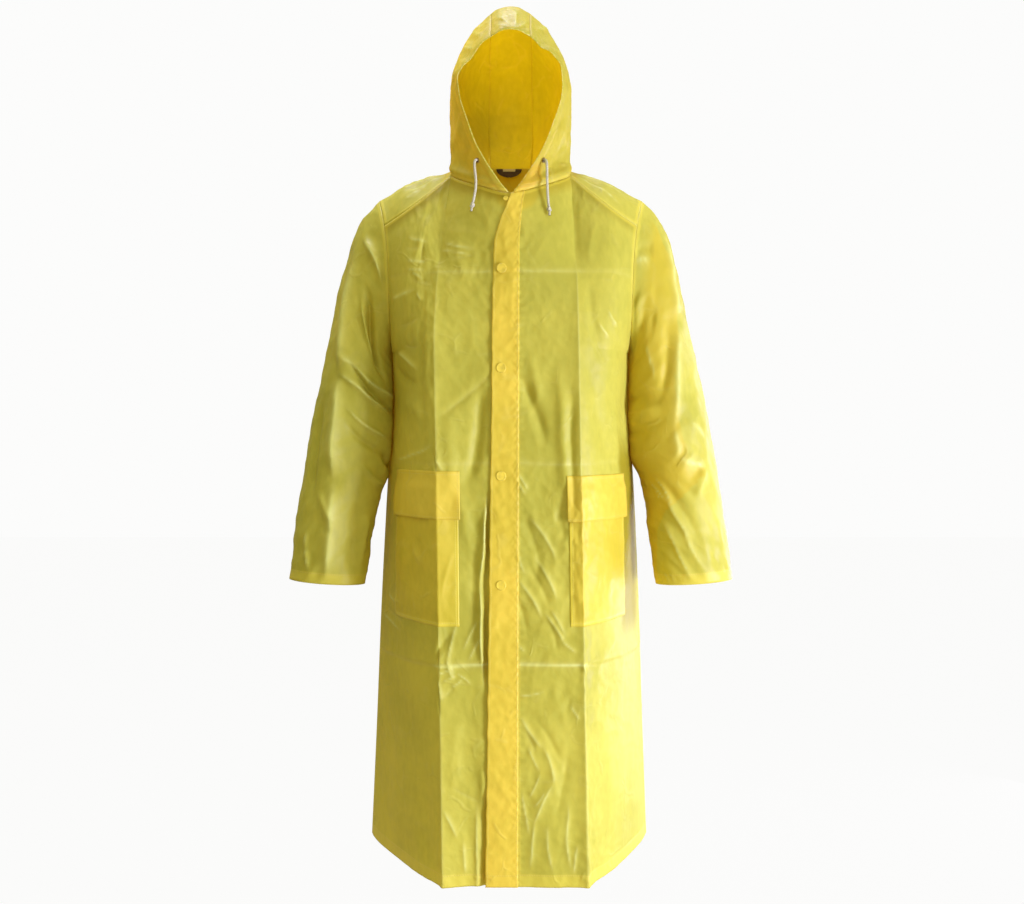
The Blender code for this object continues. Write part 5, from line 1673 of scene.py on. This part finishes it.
def build_label(looks):
    """A half-moon sewn inside the back of the neck, with a lighter patch where its text would be."""
    turn, across = np.meshgrid(spaced(0.0, 14, pi * 0.47), spaced(-1.0, 28, 1.0), indexing="ij")
    x = LABEL_X + across * LABEL_WIDTH / 2 * np.cos(turn)
    sewn = neck_seam(1, 1 - np.abs(x) / 0.31)
    sag = 0.0008 * np.sin(turn) * np.cos(across * 2.4)
    z = sewn[..., 2] - LABEL_DROP - LABEL_HEIGHT * np.sin(turn)
    label = cloth(
        "neck_label", xyz(x, sewn[..., 1] - LABEL_SET_IN - sag, z), BODY_INSIDE, looks["label"]
    )
    patch_z = z[0, 14] - PATCH_HEIGHT
    repaint(label, looks["label_top"], lambda c: c.z > patch_z and abs(c.x - LABEL_X) < PATCH_HALF)


def build_stage():
    bm = bmesh.new()
    bmesh.ops.create_grid(bm, x_segments=4, y_segments=4, size=FLOOR_SIZE)
    bmesh.ops.translate(bm, verts=bm.verts, vec=(0, 0, FLOOR_Z))
    look, g = new_look("pale floor")
    seen = g.add("ShaderNodeLightPath").outputs["Is Camera Ray"]
    plain = g.add("ShaderNodeBsdfDiffuse", {"Color": FLOOR_COLOUR}).outputs[0]
    bright = g.add("ShaderNodeEmission", {"Color": BACKDROP, "Strength": 1.0}).outputs[0]
    pale = g.add("ShaderNodeMixShader", {0: FLOOR_GLOW, 1: plain, 2: bright}).outputs[0]
    g.surface(g.add("ShaderNodeMixShader", {0: seen, 1: plain, 2: pale}))
    finish_mesh("floor", bm, look)


Lamp = namedtuple("Lamp", "name place target size power colour")
COOL, NEUTRAL = (0.99, 1.0, 1.50), (1.0, 1.0, 0.9)
AROUND = {"Color": (1, 0.955, 0.58, 1), "Strength": 0.585}
LAMPS = (
    Lamp("key", (2.0, -1.25, -1.0), (0, 0, -0.7), (0.7, 0.9), 65, COOL),
    Lamp("side", (1.9, 1.2, -0.7), (0, 0, -0.7), (1.0, 1.8), 39, COOL),
    Lamp("top", (-0.2, 0.3, 2.2), (0, 0, 0), (1.4, 1.0), 62, COOL),
    Lamp("fill", (0.5, -2.8, 0.9), (0, 0, -0.5), (1.6, 1.6), 13, NEUTRAL),
)


def build_lights():
    scene = bpy.context.scene
    scene.world = bpy.data.worlds.new("studio")
    scene.world.use_nodes = True
    g = Graph(scene.world.node_tree)
    g.tree.nodes.clear()
    seen = g.add("ShaderNodeLightPath").outputs["Is Camera Ray"]
    soft = g.add("ShaderNodeBackground", AROUND).outputs[0]
    white = g.add("ShaderNodeBackground", {"Color": BACKDROP, "Strength": 1.0}).outputs[0]
    g.surface(g.add("ShaderNodeMixShader", {0: seen, 1: soft, 2: white}), "ShaderNodeOutputWorld")
    for lamp in LAMPS:
        data = bpy.data.lights.new(lamp.name, "AREA")
        data.shape = "RECTANGLE"
        data.size, data.size_y = lamp.size
        data.energy = lamp.power
        data.color = lamp.colour
        light = bpy.data.objects.new(lamp.name, data)
        light.location = lamp.place
        way = Vector(lamp.target) - Vector(lamp.place)
        light.rotation_euler = way.to_track_quat("-Z", "Y").to_euler()
        light.visible_camera = False
        scene.collection.objects.link(light)
    scene.view_settings.view_transform = "Standard"
    scene.view_settings.exposure = 0.0
    scene.cycles.use_denoising = True
    scene.cycles.max_bounces = 10
    scene.cycles.diffuse_bounces = 6
    scene.cycles.transmission_bounces = 8


LENS, SENSOR_WIDTH, CAMERA_AT = 38.84, 36.0, (0.0025, -2.03, -0.48)


def build_camera():
    data = bpy.data.cameras.new("camera")
    data.lens = LENS
    data.sensor_width = SENSOR_WIDTH
    camera = bpy.data.objects.new("camera", data)
    camera.location = CAMERA_AT
    camera.rotation_euler = (pi / 2, 0, 0)
    bpy.context.scene.collection.objects.link(camera)
    bpy.context.scene.camera = camera


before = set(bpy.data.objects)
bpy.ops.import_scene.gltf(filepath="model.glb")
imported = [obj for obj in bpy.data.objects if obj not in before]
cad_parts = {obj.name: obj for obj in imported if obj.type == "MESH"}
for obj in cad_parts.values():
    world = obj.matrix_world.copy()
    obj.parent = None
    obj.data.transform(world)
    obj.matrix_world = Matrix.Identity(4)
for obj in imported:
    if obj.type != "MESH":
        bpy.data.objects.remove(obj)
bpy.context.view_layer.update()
build_camera()
looks = make_looks()
for build in (
    build_drawstring, build_eyelets, build_body, build_yoke, build_sleeves, build_hood, build_placket,
    build_pockets, build_snaps, build_label,
):
    build(looks)
build_stage()
build_lights()
